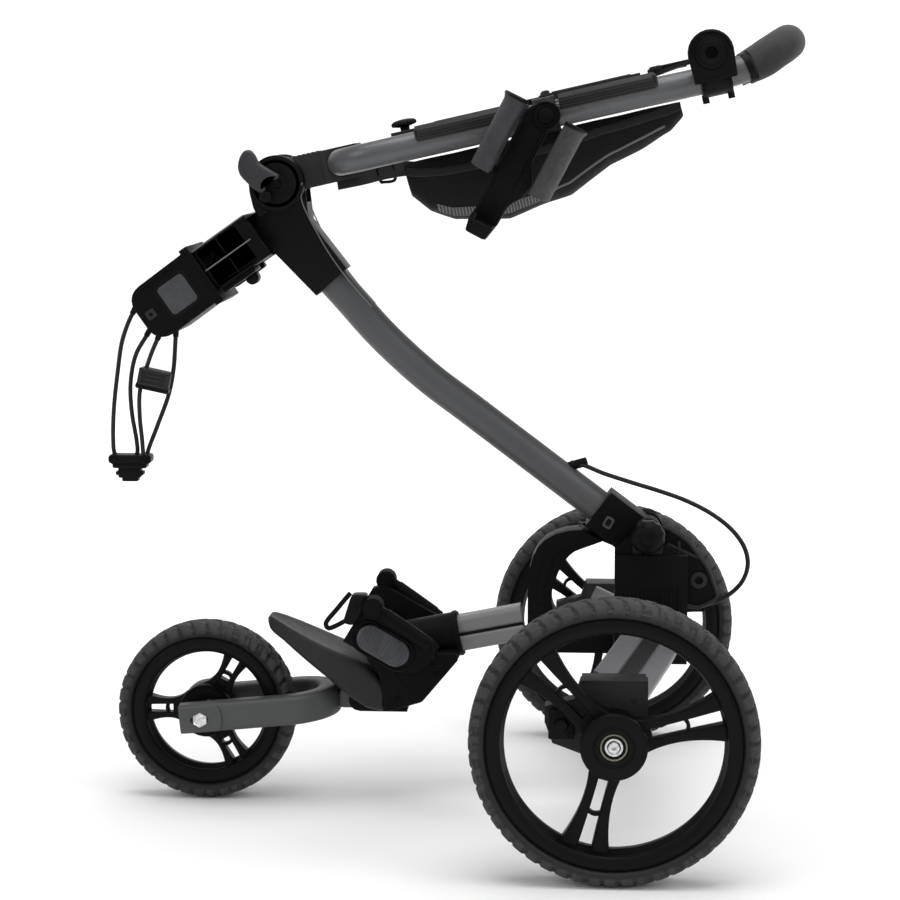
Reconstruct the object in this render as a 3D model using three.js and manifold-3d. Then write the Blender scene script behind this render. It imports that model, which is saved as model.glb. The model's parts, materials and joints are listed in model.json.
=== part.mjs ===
// Three-wheeled golf push cart, standing half folded: the main tube lies forward on its stop
// and the handle is swung back over it. Millimetres, +Z up, the front wheel towards -X.
// "Left" is the -Y side. Every station is counted from the rear axle line (x = 0) on the ground (z = 0).
import * as THREE from 'three';
import { mergeVertices } from 'three/addons/utils/BufferGeometryUtils.js';
import Module from 'manifold-3d';

const wasm = await Module();
wasm.setup();

// ---- driving dimensions ------------------------------------------------------------------
const gap = 0.4;                 // clearance between neighbouring pieces
const frameShift = 180;          // brings the middle of the cart's length to the origin

const rearRadius = 146;          // rear tyre, outside radius
const rearTyreWidth = 48;
const track = 587;               // between the middles of the rear tyres
const frontRadius = 101;         // front tyre, outside radius
const frontTyreWidth = 44;
const wheelBase = 458;           // rear axle to front axle
const tyreHeight = 19;           // radial height of a tyre above its rim
const rimDepth = 13.5;           // radial depth of a rim band
const hubRadius = 30;
const capRadius = 34;
const bearingRadius = 14;
const axleRadius = 6;

const mainTubeRadius = 18;
const lowerTubeAngle = 37;       // slope of the main tube's lower run, degrees
const upperTubeAngle = 48;       // slope of its upper run
const lowerTubeLength = 256;     // from the fold axis to the bend
const upperTubeLength = 166;     // from the bend to its top end
const foldX = 36;                // main fold axis
const foldZ = 310;
const foldPinRadius = 5;

const handleJointX = -370;       // handle fold axis
const handleJointZ = 693;
const jointRadius = 30;
const handleAngle = 12.7;        // slope of the handle, degrees
const handleTubeRadius = 14.3;
const handleHalfWidth = 85;      // half the distance between the two side tubes
const handleLift = 6.5;          // side tubes above the joint's axis
const handleFront = 74;          // cross part of the loop, from the joint
const handleLength = 568;        // grip bar, from the joint
const gripRise = 19.5;           // grip bar above the side tubes
const foamRadius = 18.5;
const foamReach = 51;            // foam start back to the grip bar
const foamStart = handleLength - foamReach;

const baseTubeHeight = 39;
const baseTubeWidth = 30;
const baseTubeAngle = 11.3;
const legWidth = 61;
const legThickness = 20;
const legTwist = 25;             // tilt of the flat leg about its own length, degrees

const forkWidth = 25;            // fork tube across
const forkHeight = 33;
const forkInside = 60;           // clear width between the fork arms
const forkAngle = 5.7;           // slope of the fork, degrees
const forkPivotX = -284;
const forkPivotZ = 117;

const cupRadius = 45;
const cupHeight = 133;
const cupTilt = 27.5;            // the cup holder's axis from upright, degrees
const mountStation = handleLength - 85.3;    // accessory mount along the handle, from the joint
const consoleStart = 165;
const consoleEnd = handleLength - 147;
const cupStation = consoleEnd - 118.2;       // cup boss along the handle

const cordRadius = 2.4;
const cableRadius = 2.5;

const degree = Math.PI / 180;

// ---- shape helpers -----------------------------------------------------------------------
function solid(geometry) {
  const bare = (geometry.index ? geometry.toNonIndexed() : geometry).clone();
  bare.deleteAttribute('normal');
  bare.deleteAttribute('uv');
  const merged = mergeVertices(bare, 1e-4);
  return new wasm.Manifold(new wasm.Mesh({
    numProp: 3,
    vertProperties: new Float32Array(merged.attributes.position.array),
    triVerts: new Uint32Array(merged.index.array),
  }));
}

function toGeometry(manifold) {
  const mesh = manifold.getMesh();
  const geometry = new THREE.BufferGeometry();
  geometry.setAttribute('position', new THREE.BufferAttribute(mesh.vertProperties, 3));
  geometry.setIndex(new THREE.BufferAttribute(mesh.triVerts, 1));
  return geometry;
}

const join = (...pieces) => pieces.map(solid).reduce((whole, piece) => whole.add(piece));
const cut = (body, ...tools) => tools.map(solid).reduce((left, tool) => left.subtract(tool), body);

// box between two corners
function box(x0, x1, y0, y1, z0, z1) {
  const geometry = new THREE.BoxGeometry(x1 - x0, y1 - y0, z1 - z0);
  return geometry.translate((x0 + x1) / 2, (y0 + y1) / 2, (z0 + z1) / 2);
}

// round bar along Y
function barY(x, z, radius, y0, y1, sides = 24) {
  const geometry = new THREE.CylinderGeometry(radius, radius, y1 - y0, sides);
  return geometry.translate(x, (y0 + y1) / 2, z);
}

// round bar between two points
function bar(from, to, radius, sides = 16) {
  const start = new THREE.Vector3(...from);
  const way = new THREE.Vector3(...to).sub(start);
  const geometry = new THREE.CylinderGeometry(radius, radius, way.length(), sides);
  geometry.translate(0, way.length() / 2, 0);
  const turn = new THREE.Quaternion().setFromUnitVectors(new THREE.Vector3(0, 1, 0), way.normalize());
  return geometry.applyQuaternion(turn).translate(start.x, start.y, start.z);
}

// side outline (x, z) given a thickness from y0 to y1
function plate(outline, y0, y1) {
  const shape = outline instanceof THREE.Shape
    ? outline : new THREE.Shape(outline.map(([x, z]) => new THREE.Vector2(x, z)));
  const geometry = new THREE.ExtrudeGeometry(shape, { depth: y1 - y0, bevelEnabled: false,
    curveSegments: 6 });
  return geometry.rotateX(Math.PI / 2).translate(0, y1, 0);
}

// tube of a round section along a smooth curve through the points
function tubeAlong(points, radius, sides, steps, bore = 0) {
  const section = new THREE.Shape();
  section.absarc(0, 0, radius, 0, 2 * Math.PI, false);
  if (bore > 0) {
    const hole = new THREE.Path();
    hole.absarc(0, 0, bore, 0, 2 * Math.PI, true);
    section.holes.push(hole);
  }
  const path = new THREE.CatmullRomCurve3(points.map((point) => new THREE.Vector3(...point)));
  return new THREE.ExtrudeGeometry(section, { steps, extrudePath: path, curveSegments: sides / 2 });
}

// ring turned about Y from a closed profile of (radius, y)
function turned(profile, segments) {
  const closed = [...profile, profile[0]].map(([radius, y]) => new THREE.Vector2(radius, y));
  return new THREE.LatheGeometry(closed, segments);
}

// solid turned about Y, its profile ending on the axis at both ends
function turnedSolid(profile, segments) {
  return new THREE.LatheGeometry(profile.map(([radius, y]) => new THREE.Vector2(radius, y)), segments);
}

const mirrorY = (points) => points.map(([x, y, z]) => [x, -y, z]);
const bySide = (side, near, far) => (side < 0 ? [-far, -near] : [near, far]);

const finishes = {
  tyre: new THREE.MeshStandardMaterial({ color: 0x1a1a1b, roughness: 0.85, metalness: 0 }),
  black: new THREE.MeshStandardMaterial({ color: 0x121314, roughness: 0.5, metalness: 0 }),
  charcoal: new THREE.MeshStandardMaterial({ color: 0x333538, roughness: 0.5, metalness: 0.1 }),
  tube: new THREE.MeshStandardMaterial({ color: 0x6b6d70, roughness: 0.4, metalness: 0.5 }),
  lightTube: new THREE.MeshStandardMaterial({ color: 0x85888b, roughness: 0.4, metalness: 0.5 }),
  steel: new THREE.MeshStandardMaterial({ color: 0xb8babd, roughness: 0.3, metalness: 1 }),
  softGrey: new THREE.MeshStandardMaterial({ color: 0x4c4d52, roughness: 0.8, metalness: 0 }),
  fabric: new THREE.MeshStandardMaterial({ color: 0x111112, roughness: 0.95, metalness: 0 }),
};

const cart = new THREE.Group();
cart.position.x = frameShift;

function piece(parent, name, geometry, finish) {
  const shape = geometry.isBufferGeometry ? geometry : toGeometry(geometry);
  const mesh = new THREE.Mesh(shape, finishes[finish].clone());
  mesh.name = name;
  parent.add(mesh);
  return mesh;
}

// ---- wheels ------------------------------------------------------------------------------
function tyre(radius, width) {
  const half = width / 2;
  const inner = radius - tyreHeight;
  return turned([
    [inner, -half + 10], [inner + 4, -half + 2], [radius - 6, -half], [radius, -half + 10],
    [radius, half - 10], [radius - 6, half], [inner + 4, half - 2], [inner, half - 10],
  ], 36);
}

// one spoke: two ribs that flare at the hub and at the rim, with a slot between them
function spokeShape(reach) {
  const waist = 0.55 * reach;
  const shape = new THREE.Shape();
  shape.moveTo(hubRadius * 0.8, -hubRadius * 0.6);
  shape.quadraticCurveTo(waist, -0.07 * reach, reach, -0.26 * reach);
  shape.lineTo(reach, 0.26 * reach);
  shape.quadraticCurveTo(waist, 0.07 * reach, hubRadius * 0.8, hubRadius * 0.6);
  shape.closePath();
  const slot = new THREE.Path();
  const slotStart = hubRadius + 10;
  const slotEnd = reach - 6;
  slot.moveTo(slotStart, -0.05 * reach);
  slot.lineTo(slotStart, 0.05 * reach);
  slot.quadraticCurveTo(waist, 0.04 * reach, slotEnd, 0.13 * reach);
  slot.lineTo(slotEnd, -0.13 * reach);
  slot.quadraticCurveTo(waist, -0.04 * reach, slotStart, -0.05 * reach);
  shape.holes.push(slot);
  return shape;
}

function rim(radius, width, spokeAngles) {
  const outer = radius - tyreHeight - gap;
  const inner = outer - rimDepth;
  const half = width / 2;
  const band = turned([
    [inner, -half + 7], [outer - 8, -half + 3], [outer, -half + 5],
    [outer, half - 5], [outer - 8, half - 3], [inner, half - 7],
  ], 36);
  const spokes = spokeAngles.map((angle) => plate(spokeShape(inner + 3), -8, 8).rotateY(-angle * degree));
  const hub = barY(0, 0, hubRadius, -half + 4, half - 4, 28);
  return cut(join(band, hub, ...spokes), barY(0, 0, bearingRadius + gap, -half, half, 24));
}

function wheel(parts, radius, width, x, y, spokeAngles) {
  const at = new THREE.Group();
  at.position.set(x, y, radius);
  cart.add(at);
  piece(at, parts.tyre, tyre(radius, width), 'tyre');
  piece(at, parts.rim, rim(radius, width, spokeAngles), 'black');
  return at;
}

const rearY = track / 2;
const hubHalf = rearTyreWidth / 2 - 4;          // half the rear hub's length
const carrierFace = rearY - hubHalf - 2;        // wheel side of the hub carrier
const carrierThickness = 20;
const axleOut = rearY + hubHalf + 5;

for (const [side, word, angles] of [[-1, 'left', [135, 15, 255]], [1, 'right', [20, 140, 260]]]) {
  const at = wheel({ tyre: `rear_tyre_${word}`, rim: `rear_rim_${word}` },
    rearRadius, rearTyreWidth, 0, side * rearY, angles);
  const capY = bySide(side, hubHalf + gap, hubHalf + gap + 5);
  piece(at, `rear_hub_cap_${word}`,
    cut(join(barY(0, 0, capRadius, ...capY, 32)), barY(0, 0, bearingRadius + gap, ...capY, 24)), 'black');
  const bearingY = bySide(side, -hubHalf, hubHalf + 4);
  piece(at, `rear_bearing_${word}`,
    cut(join(barY(0, 0, bearingRadius, ...bearingY, 24)), barY(0, 0, axleRadius + gap, ...bearingY, 16)),
      'steel');

  // stub axle, held in the hub carrier
  const axle = barY(0, rearRadius, axleRadius, ...bySide(side, carrierFace - carrierThickness, axleOut),
    16);
  piece(cart, `rear_axle_${word}`, axle, 'steel');

  // hub carrier: takes the leg's end, the axle and the brake block
  const [c0, c1] = bySide(side, carrierFace - carrierThickness, carrierFace);
  const carrier = join(
    plate([[-34, 203], [34, 203], [34, 156], [22, 124], [-24, 124], [-62, 138], [-70, 160], [-70, 176],
      [-40, 184]],
      c0, c1),
    box(-33, 32, ...bySide(side, carrierFace - carrierThickness - 14,
      carrierFace - carrierThickness + 1), 152, 203));
  piece(cart, `hub_carrier_${word}`, cut(carrier, barY(0, rearRadius, axleRadius + gap, c0 - 1, c1 + 1,
    16)),
    'charcoal');

  // brake block on the carrier's front arm, with its plunger guide
  const block = join(
    box(-66, -40, ...bySide(side, carrierFace + gap, carrierFace + 9), 144, 174),
    barY(-53, 159, 7, ...bySide(side, carrierFace + 8, carrierFace + 14), 16));
  piece(cart, `brake_block_${word}`, block, 'black');
}

// ---- rear legs: flat twisted extrusions from the centre housing out to the hub carriers --
const housingHalf = 40;
const legOuter = carrierFace - carrierThickness - 14 - 1;
function leg(side) {
  const half = legWidth / 2;
  const channel = 9;
  const depth = legThickness / 2;
  const section = new THREE.Shape([
    [-half, -depth + 3], [-half + 3, -depth], [half - 3, -depth], [half, -depth + 3], [half, depth - 3],
    [half - 3, depth], [channel, depth], [channel, depth - 5], [-channel, depth - 5], [-channel, depth],
    [-half + 3, depth], [-half, depth - 3],
  ].map(([u, v]) => new THREE.Vector2(u, v)));
  const from = new THREE.Vector3(40, side * (housingHalf + 20), 196);
  const to = new THREE.Vector3(0, side * legOuter, 180);
  const along = to.clone().sub(from);
  const reach = along.length() - 8;
  along.normalize();
  const twist = new THREE.Vector3(Math.cos(legTwist * degree), 0, -Math.sin(legTwist * degree));
  const across = twist.sub(along.clone().multiplyScalar(twist.dot(along))).normalize();
  const up = new THREE.Vector3().crossVectors(along, across);
  const sign = up.z < 0 ? -1 : 1;
  const frame = new THREE.Matrix4().makeBasis(across.multiplyScalar(sign), up.multiplyScalar(sign), along);
  frame.setPosition(from);
  const geometry = new THREE.ExtrudeGeometry(section, { depth: reach, bevelEnabled: false });
  return geometry.applyMatrix4(frame);
}
piece(cart, 'rear_leg_left', leg(-1), 'lightTube');
piece(cart, 'rear_leg_right', leg(1), 'lightTube');

// ---- centre housing with the main fold's ears --------------------------------------------
const earInner = mainTubeRadius + 5;
const earOuter = earInner + 8;
{
  const side = new THREE.Shape();
  side.moveTo(0, 166);
  side.lineTo(80, 166);
  side.lineTo(80, 284);
  side.lineTo(foldX + 18, 300);
  side.absarc(foldX, foldZ, 17, 0, Math.PI, false);
  side.lineTo(0, 296);
  const ears = plate(side, -earOuter, earOuter);
  const lower = box(0, 80, -housingHalf, housingHalf, 168, foldZ - 21);
  const feet = box(8, 72, -housingHalf - 7, housingHalf + 7, 172, 222);
  const slot = box(-1, 81, -earInner, earInner, 268, 340);
  const body = cut(join(ears, lower, feet), slot, barY(foldX, foldZ, foldPinRadius + gap, -60, 60, 16));
  piece(cart, 'centre_housing', body, 'black');
  piece(cart, 'fold_pin', barY(foldX, foldZ, foldPinRadius, -earOuter - 3, earOuter + 3, 16), 'steel');
  const knob = turnedSolid([
    [0, 0], [14, 0], [19, 4], [19, 12], [16, 18], [10, 22], [0, 23.5],
  ], 28).rotateX(Math.PI).translate(foldX, -earOuter - 3 - gap, foldZ);
  piece(cart, 'lock_knob', knob, 'black');
}

// ---- arch and base tube ------------------------------------------------------------------
const baseTubeEnd = [-101, 206];             // rear end of the base tube, on its centre line
const baseTubeLength = 128;
{
  const arch = new THREE.Shape();
  arch.moveTo(-104, 174);
  arch.lineTo(-1, 174);
  arch.lineTo(-1, 214);
  arch.lineTo(-60, 214);
  arch.quadraticCurveTo(-76, 226, -66, 254);
  arch.quadraticCurveTo(-56, 286, -38, 291);
  arch.lineTo(-14, 300);
  arch.lineTo(-36, 313);
  arch.quadraticCurveTo(-88, 312, -94, 268);
  arch.lineTo(-97, 228);
  arch.lineTo(-97, 222);
  arch.lineTo(-104, 222);
  const cheek = plate([[-44, 300], [-40, 314], [-12, 312], [14, 322], [foldX - 16, foldZ + 8],
    [foldX - 16, 288],
    [8, 284], [-16, 294]], earInner + gap, earOuter);
  const web = plate([[-46, 296], [-40, 313], [-36, 313], [-30, 296]], 12, earOuter);
  const body = join(plate(arch, -17, 17), cheek, web);
  const tip = baseTubeEnd[0];
  const tubeRoom = box(-135, tip + 5, -20, 20, 150, 240);
  const housingRoom = box(-1, 90, -60, 60, 100, 340);
  piece(cart, 'arch_frame', cut(body, tubeRoom, housingRoom), 'black');

  // two-lobed tube: a groove along the middle of each side
  const w = baseTubeWidth / 2;
  const h = baseTubeHeight / 2;
  const lobes = new THREE.Shape([
    [-w, -h + 6], [-w + 2, -h + 2], [-w + 6, -h], [w - 6, -h], [w - 2, -h + 2], [w, -h + 6], [w, -3],
    [w - 3, 0],
    [w, 3], [w, h - 6], [w - 2, h - 2], [w - 6, h], [-w + 6, h], [-w + 2, h - 2], [-w, h - 6], [-w, 3],
    [-w + 3, 0], [-w, -3],
  ].map(([u, v]) => new THREE.Vector2(u, v)));
  const tube = new THREE.ExtrudeGeometry(lobes, { depth: baseTubeLength, bevelEnabled: false });
  tube.rotateX(Math.PI / 2).rotateZ(-Math.PI / 2);      // length along -X, section upright
  tube.rotateY(-baseTubeAngle * degree).translate(baseTubeEnd[0], 0, baseTubeEnd[1]);
  piece(cart, 'base_tube', tube, 'lightTube');
}

// ---- main tube with its lower socket -----------------------------------------------------
const lowerWay = [-Math.cos(lowerTubeAngle * degree), Math.sin(lowerTubeAngle * degree)];
const upperWay = [-Math.cos(upperTubeAngle * degree), Math.sin(upperTubeAngle * degree)];
const axisDrop = 14;                          // the tube's line passes this far below the fold axis
const tubeRoot = [foldX, foldZ - axisDrop];
const along = (start, way, distance) => [start[0] + way[0] * distance, start[1] + way[1] * distance];
const tubeStart = along(tubeRoot, lowerWay, 44);
const tubeBend = along(tubeRoot, lowerWay, lowerTubeLength + 84);
const tubeTop = along(tubeBend, upperWay, upperTubeLength);
{
  const bendRun = 34;
  const points = [tubeStart, along(tubeRoot, lowerWay, 130), along(tubeBend, lowerWay, -90),
    along(tubeBend, lowerWay, -bendRun), along(tubeBend, upperWay, bendRun),
      along(tubeBend, upperWay, 90), tubeTop];
  const path = points.map(([x, z]) => [x, 0, z]);
  piece(cart, 'main_tube', tubeAlong(path, mainTubeRadius, 12, 16), 'tube');

  const mouth = along(tubeRoot, lowerWay, 68);
  const up = [lowerWay[1], -lowerWay[0]];
  const wall = mainTubeRadius + 5;
  const socketSide = [
    along(mouth, up, wall), along(mouth, up, -wall), along(along(tubeRoot, lowerWay, 16), up, -wall),
    [foldX + 3, foldZ - 15], [foldX + 12, foldZ + 8], [foldX, foldZ + 15],
  ];
  const socket = join(plate(socketSide, -wall + 1, wall - 1),
    barY(foldX, foldZ, 15, -wall + 1, wall - 1, 24),
    barY(mouth[0] + 11, mouth[1] - 12, 7.5, -wall - 1, wall + 1, 20));
  const bore = bar([tubeStart[0] - lowerWay[0] * gap, 0, tubeStart[1] - lowerWay[1] * gap],
    [mouth[0] + lowerWay[0] * 6, 0, mouth[1] + lowerWay[1] * 6], mainTubeRadius + gap, 24);
  piece(cart, 'main_socket', cut(socket, bore, barY(foldX, foldZ, foldPinRadius + gap, -40, 40, 16)),
    'charcoal');
}

// ---- handle joint on the main tube's top -------------------------------------------------
const joint = [handleJointX, handleJointZ];
const cheekIn = 20;
const cheekOut = 37;
const yokeRoom = 8;                           // the yoke's heel swings through this much of the sleeve
{
  const up = [upperWay[1], -upperWay[0]];
  const mouth = along(tubeTop, upperWay, -52);
  const half = mainTubeRadius + 4.5;
  const sleeveSide = [
    along(mouth, up, half), [joint[0] + 34, joint[1] - 40], [joint[0] + jointRadius, joint[1] - 6],
    [joint[0] - jointRadius + 3, joint[1] - 12], [joint[0] - 22, joint[1] - 58], along(mouth, up, -half),
  ];
  const body = join(
    plate(sleeveSide, -half, half),
    barY(joint[0], joint[1], jointRadius, -cheekOut, -cheekIn, 24),
    barY(joint[0], joint[1], jointRadius, cheekIn, cheekOut, 24));
  const room = barY(joint[0], joint[1], jointRadius + yokeRoom, -cheekIn, cheekIn, 24);
  const swing = box(joint[0] - 70, joint[0] + 90, -cheekIn, cheekIn, joint[1] - 4, joint[1] + 60);
  const bore = bar([tubeTop[0] + upperWay[0] * gap, 0, tubeTop[1] + upperWay[1] * gap],
    [mouth[0] - upperWay[0] * 6, 0, mouth[1] - upperWay[1] * 6], mainTubeRadius + 2 * gap, 24);
  const pinRoom = barY(joint[0], joint[1], 5 + gap, -40, 40, 16);
  piece(cart, 'joint_sleeve', cut(body, room, swing, bore, pinRoom), 'black');
  piece(cart, 'joint_pin', barY(joint[0], joint[1], 5, -cheekOut - 2, cheekOut + 2, 16), 'steel');

  // cam lever that clamps the joint, lying up along its left face
  const lever = new THREE.Shape();
  lever.absarc(-10, -14, 9, 0.9 * Math.PI, 1.9 * Math.PI, false);
  lever.absarc(-34, 25, 13, 0.1 * Math.PI, 0.9 * Math.PI, false);
  const paddle = plate(lever, -cheekOut - 16, -cheekOut - gap - 2);
  piece(cart, 'cam_lever', paddle.translate(joint[0], 0, joint[1]), 'softGrey');
}

// ---- upper bag bracket: beam, sliding saddle, side pads, release button ------------------
const beamAngle = 35.2;                            // slope of the beam, degrees
const bracket = new THREE.Group();                 // +X runs out along the beam, away from the joint
bracket.position.set(-386.5, 0, 640.5);
bracket.rotation.y = -(180 + beamAngle) * degree;
cart.add(bracket);
const beamHalf = 25;                               // half height of the beam
const beamWide = 50;                               // half width
const saddleEnd = 161;                             // flat outer end of the saddle
const armHalf = 12;                                // arm that the saddle slides on
const armWide = 24;
const padEdges = [95, 128, -13, 19];               // rubber pads on the saddle's sides
{
  // two bays over two, sunk into each side of the beam
  const bays = [];
  for (const [x0, x1] of [[20, 41], [45, 68]]) {
    for (const [z0, z1] of [[-beamHalf + 4, -2], [2, beamHalf - 4]]) {
      bays.push(box(x0, x1, -beamWide - 1, -beamWide + 8, z0, z1));
      bays.push(box(x0, x1, beamWide - 8, beamWide + 1, z0, z1));
    }
  }
  const arm = box(72, 130, -armWide, armWide, -armHalf, armHalf);
  const beam = cut(join(box(15, 73.5, -beamWide, beamWide, -beamHalf, beamHalf), arm), ...bays);
  piece(bracket, 'upper_beam', beam, 'black');

  const outline = new THREE.Shape();
  outline.moveTo(74, -34);
  outline.lineTo(84, -34);
  outline.lineTo(84, -30);
  outline.lineTo(142, -28.5);
  outline.quadraticCurveTo(159, -27, saddleEnd, -10);
  outline.lineTo(saddleEnd, 18);
  outline.quadraticCurveTo(158, 34, 140, 35);
  outline.lineTo(84, 34);
  outline.lineTo(84, 37);
  outline.lineTo(74, 37);
  const [px0, px1, pz0, pz1] = padEdges;
  const saddle = cut(join(plate(outline, -beamWide - 5, beamWide + 5)),
    box(70, 152, -armWide - gap, armWide + gap, -armHalf - gap, armHalf + gap),
    box(px0, px1, -beamWide - 6, -beamWide - 2, pz0, pz1),
      box(px0, px1, beamWide + 2, beamWide + 6, pz0, pz1));
  piece(bracket, 'upper_saddle', saddle, 'black');
  for (const [side, word] of [[-1, 'left'], [1, 'right']]) {
    const patch = box(px0 + gap, px1 - gap, ...bySide(side, beamWide + 2 + gap, beamWide + 6), pz0 + gap,
      pz1 - gap);
    piece(bracket, `upper_pad_${word}`, patch, 'softGrey');
  }
}

// release button under the beam
{
  const button = join(box(30, 54, -12, 12, beamHalf + gap, beamHalf + 5),
    barY(42, beamHalf + 9, 7, -10, 10, 16));
  piece(bracket, 'saddle_release', button, 'black');
}

// ---- lower bag bracket: housing on the base tube, tongue, two wings with pads, cord block 
const lowerHalf = 44;
const tongueHalf = 42;
{
  const outline = [[-283, 195], [-268, 205], [-228, 204], [-175, 216], [-171, 168], [-212, 121],
    [-249, 110],
    [-255, 113], [-256, 128], [-260, 151], [-274, 171]];
  const w = baseTubeWidth / 2 + gap;
  const h = baseTubeHeight / 2 + gap;
  const [ex, ez] = baseTubeEnd;
  const room = box(-baseTubeLength - 2, 5, -w, w, -h, h).rotateY(-baseTubeAngle * degree).translate(ex,
    0, ez);
  const knuckleRoom = box(-300, -226, -24, 24, 90, 136);
  const body = cut(join(plate(outline, -lowerHalf, lowerHalf)), room, knuckleRoom);
  piece(cart, 'lower_housing', body, 'black');

  const tongue = new THREE.Shape();
  tongue.moveTo(-386, 216);
  tongue.quadraticCurveTo(-385, 223, -376, 220);
  tongue.lineTo(-299, 187);
  tongue.lineTo(-285, 194);
  tongue.lineTo(-276, 170);
  tongue.lineTo(-262, 150.5);
  tongue.lineTo(-258, 128);
  tongue.lineTo(-257, 112);
  tongue.lineTo(-268, 107);
  tongue.quadraticCurveTo(-335, 150, -364, 182);
  tongue.closePath();
  const slot = box(-312, -240, -24, 24, 90, 138);
  // seen from above, the tongue narrows towards its tip
  const tipHalf = 15;
  const beside = [[-395, tipHalf], [-376, 27], [-345, 36], [-300, tongueHalf + gap], [-300, 60], [-395, 60]];
  const sides = [1, -1].map((side) => {
    const plan = new THREE.Shape(beside.map(([x, y]) => new THREE.Vector2(x, side * y)));
    return new THREE.ExtrudeGeometry(plan, { depth: 300, bevelEnabled: false });
  });
  piece(cart, 'bag_tongue', cut(join(plate(tongue, -tongueHalf, tongueHalf)), slot, ...sides), 'charcoal');

  // each wing swings out on a barrel square to its arm
  const wingTip = [-262, 236];
  const wingRoot = [-206, 184];
  const armLength = Math.hypot(wingTip[0] - wingRoot[0], wingTip[1] - wingRoot[1]);
  const pinWay = [(wingTip[1] - wingRoot[1]) / armLength, (wingRoot[0] - wingTip[0]) / armLength];
  const pinBarrel = 9;
  const pinY = lowerHalf + pinBarrel + 2 * gap;
  for (const [side, word] of [[-1, 'left'], [1, 'right']]) {
    const y = (near, far) => bySide(side, near, far);
    const wing = join(
      plate([[-296, 196], [-276, 229], [-262, 232], [-198, 196], [-196, 176], [-216, 162], [-233, 161]],
        ...y(60, 74)),
      bar([wingTip[0], side * 80, wingTip[1]], [-200, side * 76, 193], 7, 12),
      barY(wingTip[0], wingTip[1], 10, ...y(68, 90), 16),
      bar([wingRoot[0] - 12 * pinWay[0], side * pinY, wingRoot[1] - 12 * pinWay[1]],
        [wingRoot[0] + 12 * pinWay[0], side * pinY, wingRoot[1] + 12 * pinWay[1]], pinBarrel, 20));
    const recess = [[-285, 199], [-271, 222], [-222, 191], [-236, 168]];
    piece(cart, `lower_wing_${word}`, cut(wing, plate(recess, ...y(70, 76))), 'black');
    const pad = plate([[-284, 199], [-270.7, 221], [-223, 191], [-236, 169]], ...y(70 + gap, 77));
    piece(cart, `lower_pad_${word}`, pad, 'softGrey');
  }
  const loopSide = [[-292, 250], [-323, 209], [-319, 205], [-297, 213], [-300, 216], [-316, 211],
    [-291, 244]];
  const block = join(plate([[-300, 218], [-290, 243], [-275, 242], [-279, 233], [-297, 206]], -80, -60),
    plate(loopSide, -72, -68));
  piece(cart, 'cord_block', block, 'black');
}

// ---- front fork, knuckle and wheel -------------------------------------------------------
{
  const front = -wheelBase;
  const at = wheel({ tyre: 'front_tyre', rim: 'front_rim' }, frontRadius, frontTyreWidth, front, 0,
    [180, 60, 300]);
  at.position.z = frontRadius;
  const forkHalf = forkInside / 2 + forkWidth;
  const bend = 97;                              // axle to the middle of the bend
  const plan = new THREE.Shape();
  plan.moveTo(-24, -forkHalf);
  plan.lineTo(bend, -forkHalf);
  plan.absarc(bend, 0, forkHalf, -Math.PI / 2, Math.PI / 2, false);
  plan.lineTo(-24, forkHalf);
  plan.lineTo(-24, forkHalf - forkWidth);
  plan.lineTo(bend, forkHalf - forkWidth);
  plan.absarc(bend, 0, forkHalf - forkWidth, Math.PI / 2, -Math.PI / 2, true);
  plan.lineTo(-24, -forkHalf + forkWidth);
  plan.closePath();
  const loop = new THREE.ExtrudeGeometry(plan, { depth: forkHeight, bevelEnabled: false,
    curveSegments: 12 });
  loop.translate(0, 0, -forkHeight / 2).rotateY(-forkAngle * degree).translate(front, 0, frontRadius);
  const lug = join(loop, box(forkPivotX - 24, forkPivotX, -12, 12, forkPivotZ - 11, forkPivotZ + 10),
    barY(forkPivotX, forkPivotZ, 11, -12, 12, 20));
  const fork = cut(lug, barY(front, frontRadius, axleRadius + gap, -70, 70, 16),
    barY(forkPivotX, forkPivotZ, 4 + gap, -30, 30, 12));
  piece(cart, 'front_fork', fork, 'tube');
  piece(cart, 'front_axle', barY(front, frontRadius, axleRadius - 0.5, -forkHalf - 4, forkHalf + 4, 16),
    'steel');

  const knuckle = cut(join(
    box(forkPivotX, -230, -22, 22, forkPivotZ - 12, 130),
    barY(forkPivotX, forkPivotZ, 11.5, -22, 22, 20)),
  box(forkPivotX - 20, forkPivotX + 13, -12 - gap, 12 + gap, 90, 140));
  const pinned = knuckle.add(solid(barY(forkPivotX, forkPivotZ, 4, -23, 23, 12)));
  piece(cart, 'fork_knuckle', pinned, 'black');
}

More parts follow.
